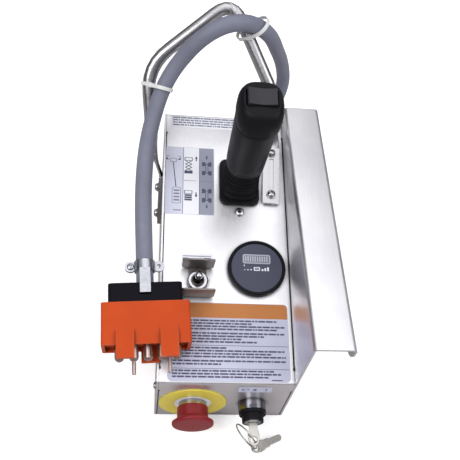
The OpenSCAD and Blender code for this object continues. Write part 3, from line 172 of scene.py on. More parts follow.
# ---------------------------------------------------------------- materials
class Nodes:
    """Short way to write a node tree."""

    def __init__(self, name):
        self.mat = bpy.data.materials.new(name)
        self.mat.use_nodes = True
        self.tree = self.mat.node_tree
        self.tree.nodes.clear()
        self.out = self.add("ShaderNodeOutputMaterial")
        self.bsdf = self.add("ShaderNodeBsdfPrincipled")
        self.wire(self.bsdf, "BSDF", self.out, "Surface")
        self.coord = self.add("ShaderNodeTexCoord")

    def add(self, kind, **props):
        n = self.tree.nodes.new(kind)
        for k, v in props.items():
            setattr(n, k, v)
        return n

    def wire(self, a, out, b, into):
        self.tree.links.new(a.outputs[out], b.inputs[into])

    def set(self, **values):
        """Numbers and colours on the shader's own sockets."""
        for k, v in values.items():
            socket = self.bsdf.inputs[k.replace("_", " ")]
            socket.default_value = (*v, 1) if isinstance(v, tuple) else v

    def noise(self, scale, detail=4.0, stretch=None, rough=0.55):
        n = self.add("ShaderNodeTexNoise")
        n.inputs["Scale"].default_value = scale
        n.inputs["Detail"].default_value = detail
        n.inputs["Roughness"].default_value = rough
        if stretch:
            m = self.add("ShaderNodeMapping")
            m.inputs["Scale"].default_value = stretch
            self.wire(self.coord, "Object", m, "Vector")
            self.wire(m, "Vector", n, "Vector")
        else:
            self.wire(self.coord, "Object", n, "Vector")
        return n

    def ramp(self, src, out, stops):
        r = self.add("ShaderNodeValToRGB")
        for e, (p, c) in zip(r.color_ramp.elements, (stops[0], stops[-1])):
            e.position = p
            e.color = (*c, 1)
        self.wire(src, out, r, "Fac")
        return r.outputs["Color"]

    def mix(self, fac, a, b, blend="MIX"):
        m = self.add("ShaderNodeMix", data_type="RGBA", blend_type=blend)
        if isinstance(fac, (int, float)):
            m.inputs[0].default_value = fac
        else:
            self.tree.links.new(fac, m.inputs[0])
        for v, i in ((a, 6), (b, 7)):
            if isinstance(v, tuple):
                m.inputs[i].default_value = (*v, 1)
            else:
                self.tree.links.new(v, m.inputs[i])
        return m.outputs[2]

    def span(self, src, out, low, high):
        m = self.add("ShaderNodeMapRange")
        m.inputs["To Min"].default_value = low
        m.inputs["To Max"].default_value = high
        self.wire(src, out, m, "Value")
        return m

    def times(self, value, factor):
        m = self.add("ShaderNodeMath", operation="MULTIPLY")
        m.inputs[1].default_value = factor
        self.tree.links.new(value, m.inputs[0])
        return m.outputs[0]

    def normal(self, src, out, strength, distance, edge):
        """Bump over a softened edge."""
        bev = self.add("ShaderNodeBevel", samples=4)
        bev.inputs["Radius"].default_value = edge
        b = self.add("ShaderNodeBump")
        b.inputs["Strength"].default_value = strength
        b.inputs["Distance"].default_value = distance
        self.wire(src, out, b, "Height")
        self.wire(bev, "Normal", b, "Normal")
        self.wire(b, "Normal", self.bsdf, "Normal")
        return bev

    def edges(self, bev):
        """1 on an edge, 0 on a flat face: the mask for painted edge shade and highlight, and for
        edge wear.
        """
        flat, edge_toned = 0.995, 0.9
        geo = self.add("ShaderNodeNewGeometry")
        dot = self.add("ShaderNodeVectorMath", operation="DOT_PRODUCT")
        self.wire(bev, "Normal", dot, 0)
        self.wire(geo, "Normal", dot, 1)
        m = self.add("ShaderNodeMapRange")
        m.inputs["From Min"].default_value = flat
        m.inputs["From Max"].default_value = edge_toned
        self.wire(dot, "Value", m, "Value")
        return m.outputs["Result"]

    def painted_crease_shade(self, dark, reach):
        """Painted shade: grey that falls to dark where other faces stand close."""
        occ = self.add("ShaderNodeAmbientOcclusion", samples=6)
        occ.inputs["Distance"].default_value = reach
        return self.ramp(occ, "AO", [(0.25, (dark, dark, dark)), (0.85, (1, 1, 1))])


def shade(c, k):
    return tuple(max(0.0, min(1.0, v * k)) for v in c)


def metal(name, color, rough, grain=(1, 1, 1), grain_scale=900.0, amount=0.10, bump=0.12,
          tint=None, blotch=0.08, edge=0.0003, metallic=1.0, painted_edge_tone=1.12, crease_shade=0.35, reach=0.006):
    """Brushed or turned metal: fine grain along one axis, dull blotches, painted edge shade and
    highlight, painted shade in creases.

    The edge tone paints a dark line of shade along edges and bends where it is below 1 and a
    highlight where it is above 1, and the crease tone paints shade into the corners, both against
    the flat faces.
    """
    blotch_scale, spot_scale, spot_depth, bump_depth = 18.0, 140.0, 0.06, 0.00006
    m = Nodes(name)
    fine = m.noise(grain_scale, 3.0, grain, 0.6)
    broad = m.noise(blotch_scale, 5.0)
    spots = m.noise(spot_scale, 3.0)
    grained = m.ramp(fine, "Fac", [(0.3, shade(color, 1 - amount)),
                                   (0.7, shade(color, 1 + amount * 0.5))])
    blotched = m.ramp(broad, "Fac", [(0.35, shade(tint or color, 1 - blotch)),
                                     (0.65, shade(color, 1 + blotch * 0.6))])
    body = m.mix(0.5, grained, blotched)
    uneven = m.add("ShaderNodeMath", operation="ADD")
    m.wire(m.span(fine, "Fac", rough * 0.75, rough * 1.25), "Result", uneven, 0)
    m.wire(m.span(spots, "Fac", -spot_depth, spot_depth), "Result", uneven, 1)
    m.wire(uneven, "Value", m.bsdf, "Roughness")
    bev = m.normal(fine, "Fac", bump, bump_depth, edge)
    # Painted edge shade and highlight: edges take the colour times the edge tone, a dark line below
    # 1 and a highlight above 1
    final = m.mix(m.edges(bev), body, shade(color, painted_edge_tone))
    # Painted shade in corners and creases, multiplied into the colour
    final = m.mix(1.0, final, m.painted_crease_shade(crease_shade, reach), "MULTIPLY")
    m.tree.links.new(final, m.bsdf.inputs["Base Color"])
    m.set(Metallic=metallic)
    return m.mat


def plastic(name, color, rough=0.45, grain_scale=1500.0, bump=0.25, vary=0.12, edge_wear_and_highlight=None,
            edge_toned=0.35, spec=0.5, edge=0.0004, dust=None, crease_shade=None):
    """Moulded plastic or rubber: fine texture, uneven tone, edges lighter from wear and from
    painted highlight, painted shade in creases.
    """
    tone_scale, dust_scale, dusty, bump_depth, crease_reach = 26.0, 70.0, 0.25, 0.00008, 0.004
    m = Nodes(name)
    fine = m.noise(grain_scale, 4.0)
    broad = m.noise(tone_scale, 4.0)
    body = m.ramp(broad, "Fac", [(0.3, shade(color, 1 - vary)), (0.7, shade(color, 1 + vary))])
    if dust:
        specks = m.ramp(m.noise(dust_scale, 6.0, None, 0.7), "Fac",
                        [(0.52, (0, 0, 0)), (0.75, (1, 1, 1))])
        body = m.mix(m.times(specks, dusty), body, dust)
    bev = m.normal(fine, "Fac", bump, bump_depth, edge)
    # Edges lighter, partly wear and partly painted highlight
    final = m.mix(m.times(m.edges(bev), edge_toned), body, edge_wear_and_highlight or shade(color, 1.8))
    # Painted shade in corners and creases, multiplied into the colour
    if crease_shade:
        final = m.mix(1.0, final, m.painted_crease_shade(crease_shade, crease_reach), "MULTIPLY")
    m.tree.links.new(final, m.bsdf.inputs["Base Color"])
    m.wire(m.span(broad, "Fac", rough * 0.8, rough * 1.2), "Result", m.bsdf, "Roughness")
    m.set(Specular_IOR_Level=spec)
    return m.mat


# One finish for each material slot of the CAD; their edge and crease tones paint shade and
# highlight into the colour
FINISHES = {
    "brushed_aluminium": (metal, dict(
        color=(0.86, 0.855, 0.87), rough=0.40, grain=(14, 0.5, 14), grain_scale=60.0,
        amount=0.09, tint=(0.80, 0.79, 0.84), edge=0.0007, painted_edge_tone=0.32, crease_shade=0.06)),
    "bright_steel": (metal, dict(
        color=(0.60, 0.60, 0.63), rough=0.18, grain_scale=500.0, amount=0.12, bump=0.10,
        painted_edge_tone=0.35, crease_shade=0.12)),
    "satin_aluminium_tube": (metal, dict(
        color=(0.54, 0.535, 0.55), rough=0.30, grain_scale=400.0, bump=0.04,
        tint=(0.50, 0.495, 0.50), blotch=0.10, edge=0.0001, painted_edge_tone=0.9, crease_shade=0.2, reach=0.003)),
    "black_plastic": (plastic, dict(
        color=(0.006, 0.006, 0.008), rough=0.46, grain_scale=1400.0, bump=0.30, vary=0.15,
        edge_wear_and_highlight=(0.04, 0.04, 0.045), spec=0.13)),
    "gauge_slate": (plastic, dict(
        color=(0.062, 0.066, 0.098), rough=0.34, grain_scale=1200.0, bump=0.06, vary=0.08,
        edge_toned=0.1, spec=0.16)),
    "grey_plastic": (plastic, dict(color=(0.09, 0.09, 0.10), rough=0.5)),
    "zinc_steel": (metal, dict(
        color=(0.50, 0.51, 0.55), rough=0.26, grain_scale=260.0, amount=0.25, bump=0.25,
        tint=(0.42, 0.42, 0.47), blotch=0.25, painted_edge_tone=0.4)),
    "dark_steel": (metal, dict(
        color=(0.21, 0.185, 0.18), rough=0.36, grain_scale=260.0, amount=0.45, bump=0.5,
        tint=(0.13, 0.11, 0.10), blotch=0.35, metallic=0.8, painted_edge_tone=1.6)),
    "dark_red_plastic": (plastic, dict(color=(0.22, 0.02, 0.018))),
    "plated_lever": (metal, dict(
        color=(0.55, 0.55, 0.57), rough=0.12, grain_scale=500.0, amount=0.05, bump=0.04)),
    "boot_rubber": (plastic, dict(
        color=(0.005, 0.005, 0.006), rough=0.5, grain_scale=1100.0, vary=0.2,
        edge_wear_and_highlight=(0.03, 0.03, 0.03), spec=0.12)),
    "dark_grey_plastic": (plastic, dict(
        color=(0.010, 0.010, 0.014), rough=0.5, grain_scale=1300.0, vary=0.15, spec=0.12)),
    "yellow_plastic": (plastic, dict(
        color=(0.66, 0.54, 0.06), rough=0.42, grain_scale=900.0, bump=0.12, vary=0.08,
        edge_wear_and_highlight=(0.75, 0.68, 0.30), edge_toned=0.3, dust=(0.55, 0.48, 0.2))),
    "red_plastic": (plastic, dict(
        color=(0.185, 0.008, 0.013), rough=0.36, grain_scale=1000.0, bump=0.15, vary=0.14,
        edge_wear_and_highlight=(0.42, 0.08, 0.08), edge_toned=0.4, spec=0.3)),
    "lock_steel": (metal, dict(
        color=(0.58, 0.58, 0.58), rough=0.25, grain_scale=420.0, amount=0.12, bump=0.10,
        painted_edge_tone=0.4, crease_shade=0.15)),
    "key_steel": (metal, dict(
        color=(0.52, 0.50, 0.47), rough=0.30, grain_scale=520.0, amount=0.12, bump=0.1,
        tint=(0.46, 0.44, 0.42), blotch=0.12, painted_edge_tone=0.35, crease_shade=0.5, reach=0.002)),
    "cable_jacket": (plastic, dict(
        color=(0.155, 0.162, 0.215), rough=0.50, grain_scale=1300.0, bump=0.20, vary=0.08,
        edge_wear_and_highlight=(0.26, 0.26, 0.31), dust=(0.25, 0.25, 0.29), spec=0.35)),
    "white_nylon": (plastic, dict(
        color=(0.62, 0.62, 0.62), rough=0.35, grain_scale=900.0, bump=0.10, vary=0.05,
        edge_wear_and_highlight=(0.9, 0.9, 0.85))),
    "orange_plastic": (plastic, dict(
        color=(0.44, 0.050, 0.005), rough=0.40, grain_scale=1200.0, bump=0.22, vary=0.10,
        edge_wear_and_highlight=(0.68, 0.19, 0.075), edge_toned=0.8, spec=0.16, edge=0.0006, crease_shade=0.30)),
    "pin_copper": (metal, dict(
        color=(0.50, 0.40, 0.36), rough=0.36, grain_scale=300.0, amount=0.20, bump=0.20,
        tint=(0.38, 0.32, 0.31), blotch=0.2)),
    "board_green": (plastic, dict(color=(0.02, 0.16, 0.06), rough=0.35)),
}
finish = {name: kind(name, **look) for name, (kind, look) in FINISHES.items()}
slot_of = {part["node"]: part["material_slot"] for part in frame["record"]["subparts"]}


def dress(obj, mat):
    if not obj.material_slots:
        obj.data.materials.append(mat)
    for sl in obj.material_slots:
        sl.material = mat


def shading_group():
    """Smooth shading that keeps sharp edges, for use as a modifier."""
    sharp_angle, weld_distance = 0.6, 1e-6
    g = bpy.data.node_groups.new("soft_shading", "GeometryNodeTree")
    for way in ("INPUT", "OUTPUT"):
        g.interface.new_socket("Geometry", in_out=way, socket_type="NodeSocketGeometry")
    start, end = g.nodes.new("NodeGroupInput"), g.nodes.new("NodeGroupOutput")
    weld = g.nodes.new("GeometryNodeMergeByDistance")
    weld.inputs["Distance"].default_value = weld_distance
    face = g.nodes.new("GeometryNodeSetShadeSmooth")
    edge = g.nodes.new("GeometryNodeSetShadeSmooth")
    edge.domain = "EDGE"
    edge.inputs["Shade Smooth"].default_value = False
    angle = g.nodes.new("GeometryNodeInputMeshEdgeAngle")
    sharp = g.nodes.new("FunctionNodeCompare")
    sharp.data_type = "FLOAT"
    sharp.operation = "GREATER_THAN"
    sharp.inputs[1].default_value = sharp_angle
    g.links.new(start.outputs[0], weld.inputs["Geometry"])
    g.links.new(weld.outputs[0], face.inputs["Geometry"])
    g.links.new(face.outputs[0], edge.inputs["Geometry"])
    g.links.new(angle.outputs["Unsigned Angle"], sharp.inputs[0])
    g.links.new(sharp.outputs[0], edge.inputs["Selection"])
    g.links.new(edge.outputs[0], end.inputs[0])
    return g


soft_shading = shading_group()

# Finishes of single nodes that differ from the rest of their slot
OWN = {
    "key_bezel": metal("dark_chrome", (0.20, 0.197, 0.215), rough=0.16, grain_scale=500.0,
                       bump=0.05, blotch=0.2, crease_shade=0.1),
    "toggle_body": plastic("bushing_inside", (0.035, 0.022, 0.022), rough=0.4),
    "plug_hood": plastic("hood_plastic", (0.005, 0.005, 0.008), rough=0.6, grain_scale=1300.0,
                         bump=0.3, vary=0.15, edge_wear_and_highlight=(0.05, 0.05, 0.06), spec=0.07),
    "steering_rocker": plastic("rocker_plastic", (0.022, 0.022, 0.027), rough=0.36,
                               grain_scale=1400.0, bump=0.2, vary=0.15,
                               edge_wear_and_highlight=(0.09, 0.09, 0.10), spec=0.3, crease_shade=0.2),
}
for name, obj in nodes.items():
    dress(obj, OWN.get(name) or finish[slot_of[name]])
    obj.modifiers.new("soft_shading", "NODES").node_group = soft_shading
dress(cable, finish["cable_jacket"])

# ---------------------------------------------------------------- bellows
# Middle on the panel, height of its ends, half width, spread of its foot, and folds
BOOT_X, BOOT_S = 13.75, PANEL_L * 0.716
BOOT_LOW, BOOT_HIGH, BOOT_R, TAPER = 3.5, 41.8, 17.3, 1.0
FOOT_SHARE, FOOT_X, FOOT_S, FOOT_SQUARE = 0.4, 0.8, 4.6, 0.45
FOLDS, FOLD_DEPTH, LIP_SHARE, LIP_IN = 6, 1.7, 0.02, 1.4
SIDES, ROWS = 48, 84


def superellipse(a, b, e, turn):
    """Point on a round that squares up as e falls below 1."""
    c, s = math.cos(turn), math.sin(turn)
    return a * math.copysign(abs(c) ** e, c), b * math.copysign(abs(s) ** e, s)


verts, faces = [], []
for i in range(ROWS + 1):
    t = i / ROWS
    h = BOOT_LOW + (BOOT_HIGH - BOOT_LOW) * t
    foot = max(0.0, 1 - t / FOOT_SHARE)
    wave = FOLD_DEPTH * (0.5 - 0.5 * math.cos(2 * math.pi * FOLDS * t))
    a = BOOT_R + FOOT_X * foot - TAPER * t + wave - LIP_IN * (t < LIP_SHARE)
    b = BOOT_R + FOOT_S * foot - TAPER * t + wave - LIP_IN * (t < LIP_SHARE)
    for j in range(SIDES):
        x, s = superellipse(a, b, 1.0 - FOOT_SQUARE * foot, 2 * math.pi * j / SIDES)
        verts.append(on_panel(BOOT_X + x, BOOT_S + s, h))
for i in range(ROWS):
    for j in range(SIDES):
        q = (j + 1) % SIDES
        faces.append((i * SIDES + j, i * SIDES + q, (i + 1) * SIDES + q, (i + 1) * SIDES + j))
bellows = mesh_object("bellows", verts, faces)
dress(bellows, finish["boot_rubber"])
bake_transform(bellows)
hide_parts("joystick_boot")


# ---------------------------------------------------------------- printed labels
def ink(name, color, rough=0.35):
    return plastic(name, color, rough, grain_scale=700.0, bump=0.05, vary=0.05, edge_wear_and_highlight=color,
                   edge_toned=0.0, spec=0.22)


INK = {
    "label_lilac": ink("label_lilac", (0.46, 0.47, 0.59)),
    "label_pale": ink("label_pale", (0.57, 0.58, 0.69)),
    "label_mid": ink("label_mid", (0.26, 0.275, 0.345)),
    "label_tan": ink("label_tan", (0.45, 0.17, 0.05)),
    "label_ink": ink("label_ink", (0.07, 0.07, 0.12)),
    "label_grey": ink("label_grey", (0.20, 0.20, 0.27)),
    "label_line": ink("label_line", (0.16, 0.16, 0.24)),
    "label_white": ink("label_white", (0.74, 0.745, 0.80)),
    "window_glow": ink("window_glow", (0.37, 0.38, 0.44), 0.2),
}


class Print:
    """Flat printed sheet built up in layers a few hundredths of a millimetre thick.

    Every form says its place in millimetres, the height of its top, its ink, and where it
    starts above the sheet's own zero.
    """

    def __init__(self, name, place, mats):
        self.name, self.place, self.mats = name, place, mats
        self.v, self.f, self.m = [], [], []

    def shape(self, pts, h, mat, low=0.0):
        n, base = len(pts), len(self.v)
        for z in (low, h):
            self.v += [self.place(x, y, z) for x, y in pts]
        self.f.append(tuple(base + n + i for i in range(n)))
        self.m.append(self.mats.index(mat))
        for i in range(n):
            q = (i + 1) % n
            self.f.append((base + i, base + q, base + n + q, base + n + i))
            self.m.append(self.mats.index(mat))

    def rect(self, x0, y0, x1, y1, h, mat, r=0.0, low=0.0):
        if r <= 0:
            self.shape([(x0, y0), (x1, y0), (x1, y1), (x0, y1)], h, mat, low)
            return
        pts = []
        step, per_corner = 15, 7
        for cx, cy, a in ((x1 - r, y0 + r, -90), (x1 - r, y1 - r, 0), (x0 + r, y1 - r, 90),
                          (x0 + r, y0 + r, 180)):
            pts += [(cx + r * math.cos(math.radians(a + step * i)),
                     cy + r * math.sin(math.radians(a + step * i))) for i in range(per_corner)]
        self.shape(pts, h, mat, low)

    def disc(self, x, y, r, h, mat, low=0.0, n=16):
        self.shape([(x + r * math.cos(2 * math.pi * i / n), y + r * math.sin(2 * math.pi * i / n))
                    for i in range(n)], h, mat, low)

    def ring(self, outer, inner, h, mat, n=40):
        """Flat ring round the sheet's own zero."""
        base = len(self.v)
        turns = [2 * math.pi * i / n for i in range(n)]
        for r in (outer, inner):
            self.v += [self.place(r * math.cos(a), r * math.sin(a), h) for a in turns]
        for i in range(n):
            q = (i + 1) % n
            self.f.append((base + i, base + q, base + n + q, base + n + i))
            self.m.append(self.mats.index(mat))

    def arrow(self, x, y, l, w, h, mat, down=False, low=0.0):
        s = -1 if down else 1
        pts = [(x - w / 5, y - s * l / 2), (x + w / 5, y - s * l / 2), (x + w / 5, y),
               (x + w / 2, y), (x, y + s * l / 2), (x - w / 2, y), (x - w / 5, y)]
        self.shape(pts if s > 0 else list(reversed(pts)), h, mat, low)

    def words(self, x0, y, x1, size, h, mat, seed, low=0.0, end=1.0):
        """A row of plain bars of uneven length, as small print looks from afar."""
        shortest, longer, space, least = 1.6, 0.62, 0.75, 1.5
        x, k = x0, seed
        stop = x0 + (x1 - x0) * end
        while x < stop - least:
            k = (k * 73 + 41) % 997
            w = min(shortest + (k % 11) * longer, stop - x)
            self.rect(x, y, x + w, y + size, h, mat, low=low)
            x += w + space

    def done(self):
        o = mesh_object(self.name, self.v, self.f, False)
        for m in self.mats:
            o.data.materials.append(INK[m])
        for p, i in zip(o.data.polygons, self.m):
            p.material_index = i
        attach(o, "console")


# Tops of the paper, of the print on it, and of what is printed over that
T0, T1, T2 = 0.12, 0.16, 0.20
TRACE = 0.01

# Large label in front: tan band, two rules, rows of small print (place up the slope, length)
lab = Print("panel_label", on_panel, ["label_lilac", "label_tan", "label_ink", "label_line"])
lab.rect(-54, 2, 57.5, 75.6, T0, "label_lilac", r=4)
lab.rect(-53.6, 61, 57.1, 75.2, T1, "label_tan", r=3.6, low=T0)
lab.rect(-53.6, 61, 57.1, 66, T1 + TRACE, "label_tan", low=T0)
lab.rect(-53, 34.6, 56.6, 35.2, T1, "label_line", low=T0)
lab.rect(-53, 13.4, 56.6, 14.0, T1, "label_line", low=T0)
rows = [(57.6, .92), (54.9, .70), (52.2, .99), (49.5, .93), (45.6, 1.0), (42.9, .82),
        (40.2, .60), (37.5, .75), (31.9, .48), (29.2, .98), (26.5, .88), (23.8, .99),
        (19.9, 1.0), (17.0, .42), (10.9, .88), (8.2, .94), (5.5, .83)]
for i, (y, e) in enumerate(rows):
    lab.words(-50, y, 55, 1.55, T1, "label_ink", 11 + 7 * i, T0, e)
lab.rect(40, 3.3, 50, 4.3, T1, "label_ink", low=T0)
lab.done()

# Label beside the joystick, in three columns
pic = Print("function_label", on_panel,
            ["label_pale", "label_white", "label_mid", "label_ink", "label_grey"])
pic.rect(-61.2, 166.3, -11.5, 243.5, T0, "label_pale", r=1.2)
pic.rect(-43.2, 166.8, -26.7, 243, T1, "label_white", low=T0)
pic.rect(-26.7, 166.8, -12, 243, T1, "label_mid", low=T0)
for x in (-43.4, -26.9):
    pic.rect(x, 166.8, x + 0.5, 243, T2, "label_ink", low=T0)
for x0, x1 in ((-42.3, -29.5), (-26, -13)):
    pic.rect(x0, 204.2, x1, 204.7, T2, "label_grey", low=T1)
# Middle: a platform high on crossed arms, and low on folded ones
pic.rect(-42, 227.6, -33.6, 231.6, T2, "label_ink", r=0.3, low=T1)
pic.rect(-41.2, 228.3, -34.4, 230.9, T2 + 2 * TRACE, "label_white", low=T2)
for i in range(3):
    y = 216.2 + 3.7 * i
    pic.shape([(-41.6, y), (-40.1, y), (-33.9, y + 3.7), (-35.4, y + 3.7)], T2, "label_ink", T1)
    pic.shape([(-35.4, y), (-33.9, y), (-40.1, y + 3.7), (-41.6, y + 3.7)], T2 + TRACE,
              "label_ink", T1)
pic.rect(-42, 212.6, -33.6, 216, T2, "label_ink", r=0.4, low=T1)
pic.arrow(-29.9, 230.4, 6, 3, T2, "label_ink", low=T1)
pic.rect(-42, 189.4, -33.6, 193.2, T2, "label_ink", r=0.3, low=T1)
pic.rect(-41.2, 190.0, -34.4, 192.6, T2 + 2 * TRACE, "label_white", low=T2)
for i in range(3):
    pic.rect(-41.5, 181.8 + 2.5 * i, -34.1, 183.8 + 2.5 * i, T2, "label_ink", r=0.3, low=T1)
pic.arrow(-29.9, 188.4, 6, 3, T2, "label_ink", down=True, low=T1)
# Right: four wheels on a frame, with the way of travel
for low, tip, down in ((211.5, 232.3, False), (180.4, 175.9, True)):
    for x in (-22.4, -15.8):
        for y in (low, low + 10.4):
            pic.rect(x - 1.6, y, x + 1.6, y + 5, T2, "label_ink", r=0.5, low=T1)
    for x in (-20.4, -18.1):
        pic.rect(x - 0.1, low + 1.5, x + 0.6, low + 14, T2, "label_ink", low=T1)
    for y in (low + 2.3, low + 12.7):
        pic.rect(-20.9, y, -17.3, y + 0.7, T2 + TRACE, "label_ink", low=T1)
    pic.arrow(-19.1, tip, 4.6, 2.8, T2, "label_ink", down, T1)
# Left: a lever drawn in thin lines, with the sides to which it moves
pic.rect(-56.6, 225.2, -50, 230, T1, "label_grey", r=1, low=T0)
pic.rect(-56.0, 225.8, -50.6, 229.4, T2, "label_pale", r=0.7, low=T1)
pic.shape([(-54.0, 225.2), (-53.1, 225.2), (-49.8, 197), (-50.7, 197)], T1, "label_ink", T0)
for x, d in ((-59.2, -1), (-47.6, 1)):
    pic.shape([(x - 1.6, 228), (x + 1.6, 228), (x + 1.6 * d, 231.2)], T1, "label_ink", T0)
    pic.rect(x - 1.9, 232, x + 1.9, 232.6, T1, "label_grey", low=T0)
pic.rect(-54.2, 178.2, -45.2, 196.6, T1, "label_grey", r=2, low=T0)
pic.rect(-53.6, 178.8, -45.8, 196.0, T2, "label_pale", r=1.6, low=T1)
for y in (181, 184.6, 188.2, 191.8):
    pic.rect(-52.6, y, -46.6, y + 1.9, T2 + 2 * TRACE, "label_grey", r=0.8, low=T2)
pic.words(-52.5, 170.2, -45, 1.2, T1, "label_grey", 17, T0)
pic.done()

# Strip of small print along the panel's back edge
top = Print("instruction_strip", on_panel, ["label_white", "label_grey"])
top.rect(-56.7, 267.8, 45, 282.2, T0, "label_white", r=0.8)
for i, (y, e) in enumerate(((279.0, 1.0), (276.0, 0.97), (273.0, 0.99), (270.0, 0.72))):
    top.words(-55, y, 44, 1.7, T1, "label_grey", 5 + 13 * i, T0, e)
top.done()

# Label behind the toggle: a square at each side, a scale of growing bars, a rule
tog = Print("toggle_label", on_panel, ["label_white", "label_ink", "label_mid"])
tog.rect(-43.8, 112.5, -13.2, 124.4, T0, "label_white", r=0.8)
tog.rect(-42.3, 114.2, -36.5, 120.5, T1, "label_mid", r=0.8, low=T0)
tog.rect(-22, 114.2, -15, 120.5, T1, "label_ink", r=0.8, low=T0)
for i in range(5):
    tog.rect(-34.5 + 2.4 * i, 114.5, -33.3 + 2.4 * i, 116 + 1.1 * i, T1, "label_mid", low=T0)
tog.rect(-42.3, 121.6, -15, 122.6, T1, "label_mid", low=T0)
tog.done()

# Label above the key switch: an oval, a dot and a bar
sym = Print("key_label", on_front, ["label_ink", "label_lilac"])
sym.rect(11.4, 60.5, 42.0, 71.5, T0, "label_lilac", r=0.8)
sym.rect(14.2, 64.0, 21.4, 68.6, T1, "label_ink", r=2.1, low=T0)
sym.rect(15.2, 64.9, 20.4, 67.7, T2, "label_lilac", r=1.3, low=T1)
sym.disc(26.4, 66.2, 1.9, T1, "label_ink", T0)
sym.rect(36.3, 63.6, 37.4, 68.8, T1, "label_ink", low=T0)
sym.done()

# White middle of the stop button's plate
STOP_X, STOP_Z, PLATE_T = -28.15, 32.8, 1.0


def on_stop_plate(x, z, h=0.0):
    return on_front(STOP_X + x, STOP_Z + z, PLATE_T + h)


mid = Print("stop_plate_middle", on_stop_plate, ["label_white"])
mid.ring(17.2, 13.4, 0.1, "label_white")
mid.done()

# Print on the gauge's face, which lies above the panel
GAUGE_X, GAUGE_S, FACE_H = 28.9, PANEL_L * 0.388, 4.6


def on_gauge(x, s, h=0.0):
    return on_panel(GAUGE_X + x, GAUGE_S + s, FACE_H + h)


gp = Print("gauge_print", on_gauge, ["window_glow", "label_ink", "label_white", "label_grey"])
# Window sunk in the face, with ten charge bars in a dark frame
gp.rect(-13.6, 4.1, 13.6, 13.9, -0.42, "window_glow", r=1.9, low=-0.58)
gp.rect(-11.9, 5.6, 11.9, 12.4, -0.36, "label_ink", r=0.6, low=-0.42)
for i in range(10):
    gp.rect(-11.4 + 2.3 * i, 6.1, -9.7 + 2.3 * i, 11.9, -0.30, "window_glow", low=-0.36)
# Marks below it: dashes, a battery, rising bars and a tick
for i, x in enumerate((-12.5, -9.4, -6.3)):
    gp.rect(x, -2.9, x + 1.2, -2.2 + 0.25 * i, 0.05, "label_white")
gp.rect(-3.0, -3.2, 3.0, 0.6, 0.04, "label_white", r=0.6)
gp.rect(-2.2, -2.5, 2.2, -0.1, 0.07, "label_grey", r=0.4, low=0.04)
for i in range(3):
    gp.rect(4.6 + 2.7 * i, -3.2, 6.3 + 2.7 * i, -1.2 + 1.0 * i, 0.05, "label_white")
gp.rect(-12.6, 1.2, -11.8, 2.6, 0.05, "label_white")
gp.done()

# ---------------------------------------------------------------- floor
# Half its size and its drop below the object, in metres; what metal mirrors of it; its lift
FLOOR_HALF, FLOOR_DROP = 6, 0.0006
FLOOR_MIRRORED = (0.36, 0.335, 0.34)
FLOOR_LIFT = 0.24
fm = Nodes("floor")
paper = fm.ramp(fm.noise(3.0, 2.0), "Fac", [(0.3, (0.90, 0.90, 0.905)), (0.7, (0.92, 0.92, 0.925))])
fp = fm.add("ShaderNodeLightPath")
fm.tree.links.new(fm.mix(fp.outputs["Is Glossy Ray"], paper, FLOOR_MIRRORED),
                  fm.bsdf.inputs["Base Color"])
fm.tree.links.new(fm.times(fp.outputs["Is Camera Ray"], FLOOR_LIFT),
                  fm.bsdf.inputs["Emission Strength"])
fm.set(Roughness=0.75, Specular_IOR_Level=0.2, Emission_Color=(1.0, 1.0, 1.0))
corners = ((-1, -1), (1, -1), (1, 1), (-1, 1))
floor = mesh_object("floor", [(x * FLOOR_HALF, y * FLOOR_HALF, -FLOOR_DROP) for x, y in corners],
                    [(0, 1, 2, 3)])
dress(floor, fm.mat)

# ---------------------------------------------------------------- world
BACKDROP = (1.35, 1.35, 1.35, 1)
ROOM_STRENGTH, ROOM_BLUE = 0.75, 1.02
world = bpy.data.worlds.new("studio")
scene.world = world
world.use_nodes = True
wt = world.node_tree
wt.nodes.clear()
wo = wt.nodes.new("ShaderNodeOutputWorld")
bg = wt.nodes.new("ShaderNodeBackground")
wc = wt.nodes.new("ShaderNodeTexCoord")
ws = wt.nodes.new("ShaderNodeSeparateXYZ")
wp = wt.nodes.new("ShaderNodeLightPath")


def world_ramp(src, stops):
    r = wt.nodes.new("ShaderNodeValToRGB")
    for e, (p, v) in zip(r.color_ramp.elements, (stops[0], stops[-1])):
        e.position = p
        e.color = (v, v, v * ROOM_BLUE, 1)
    for p, v in stops[1:-1]:
        r.color_ramp.elements.new(p).color = (v, v, v * ROOM_BLUE, 1)
    wt.links.new(src, r.inputs["Fac"])
    return r.outputs["Color"]


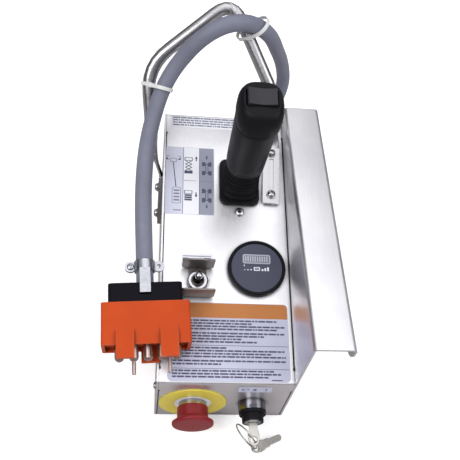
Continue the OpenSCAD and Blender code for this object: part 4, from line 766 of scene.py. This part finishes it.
def world_mix(kind, fac, a, b):
    m = wt.nodes.new("ShaderNodeMix")
    m.data_type = "RGBA"
    m.blend_type = kind
    for v, i in ((fac, 0), (a, 6), (b, 7)):
        if isinstance(v, (float, tuple)):
            m.inputs[i].default_value = v
        else:
            wt.links.new(v, m.inputs[i])
    return m.outputs[2]


# A bright room above, darker towards the horizon and at the sides for what the metal mirrors
wt.links.new(wc.outputs["Generated"], ws.inputs[0])
side = wt.nodes.new("ShaderNodeMapRange")
side.inputs["From Min"].default_value = -1
wt.links.new(ws.outputs["X"], side.inputs["Value"])
height = world_ramp(ws.outputs["Z"],
                    [(0.0, 0.16), (0.25, 0.20), (0.5, 0.36), (0.68, 0.88), (1.0, 1.06)])
sides = world_ramp(side.outputs["Result"],
                   [(0.0, 0.45), (0.25, 0.65), (0.42, 1.0), (0.62, 1.0), (0.8, 0.7), (1.0, 0.4)])
mirrored = world_mix("MULTIPLY", 1.0, height, sides)
soft_room = world_ramp(ws.outputs["Z"], [(0.0, 0.50), (0.3, 0.80), (0.75, 1.0)])
room = world_mix("MIX", wp.outputs["Is Glossy Ray"], soft_room, mirrored)
wt.links.new(world_mix("MIX", wp.outputs["Is Camera Ray"], room, BACKDROP), bg.inputs["Color"])
bg.inputs["Strength"].default_value = ROOM_STRENGTH
wt.links.new(bg.outputs[0], wo.inputs["Surface"])

# ---------------------------------------------------------------- lamps
# Name, place and size in metres, power in watts; all three face the middle of the box
LAMPS = [
    ("key_light", (-0.9, -0.7, 1.5), (0.9, 0.9), 14),
    ("fill_light", (1.2, -0.5, 1.1), (0.9, 0.9), 8),
    ("top_light", (0.25, 0.35, 1.9), (2.3, 1.7), 11),
]
AIM = Vector((0, 0, 0.1))
for name, place, size, power in LAMPS:
    lamp = bpy.data.lights.new(name, "AREA")
    lamp.shape = "RECTANGLE"
    lamp.size, lamp.size_y = size
    lamp.energy = power
    stand = link(bpy.data.objects.new(name, lamp))
    stand.location = place
    stand.rotation_euler = (AIM - Vector(place)).to_track_quat("-Z", "Y").to_euler()

scene.view_settings.view_transform = "Standard"
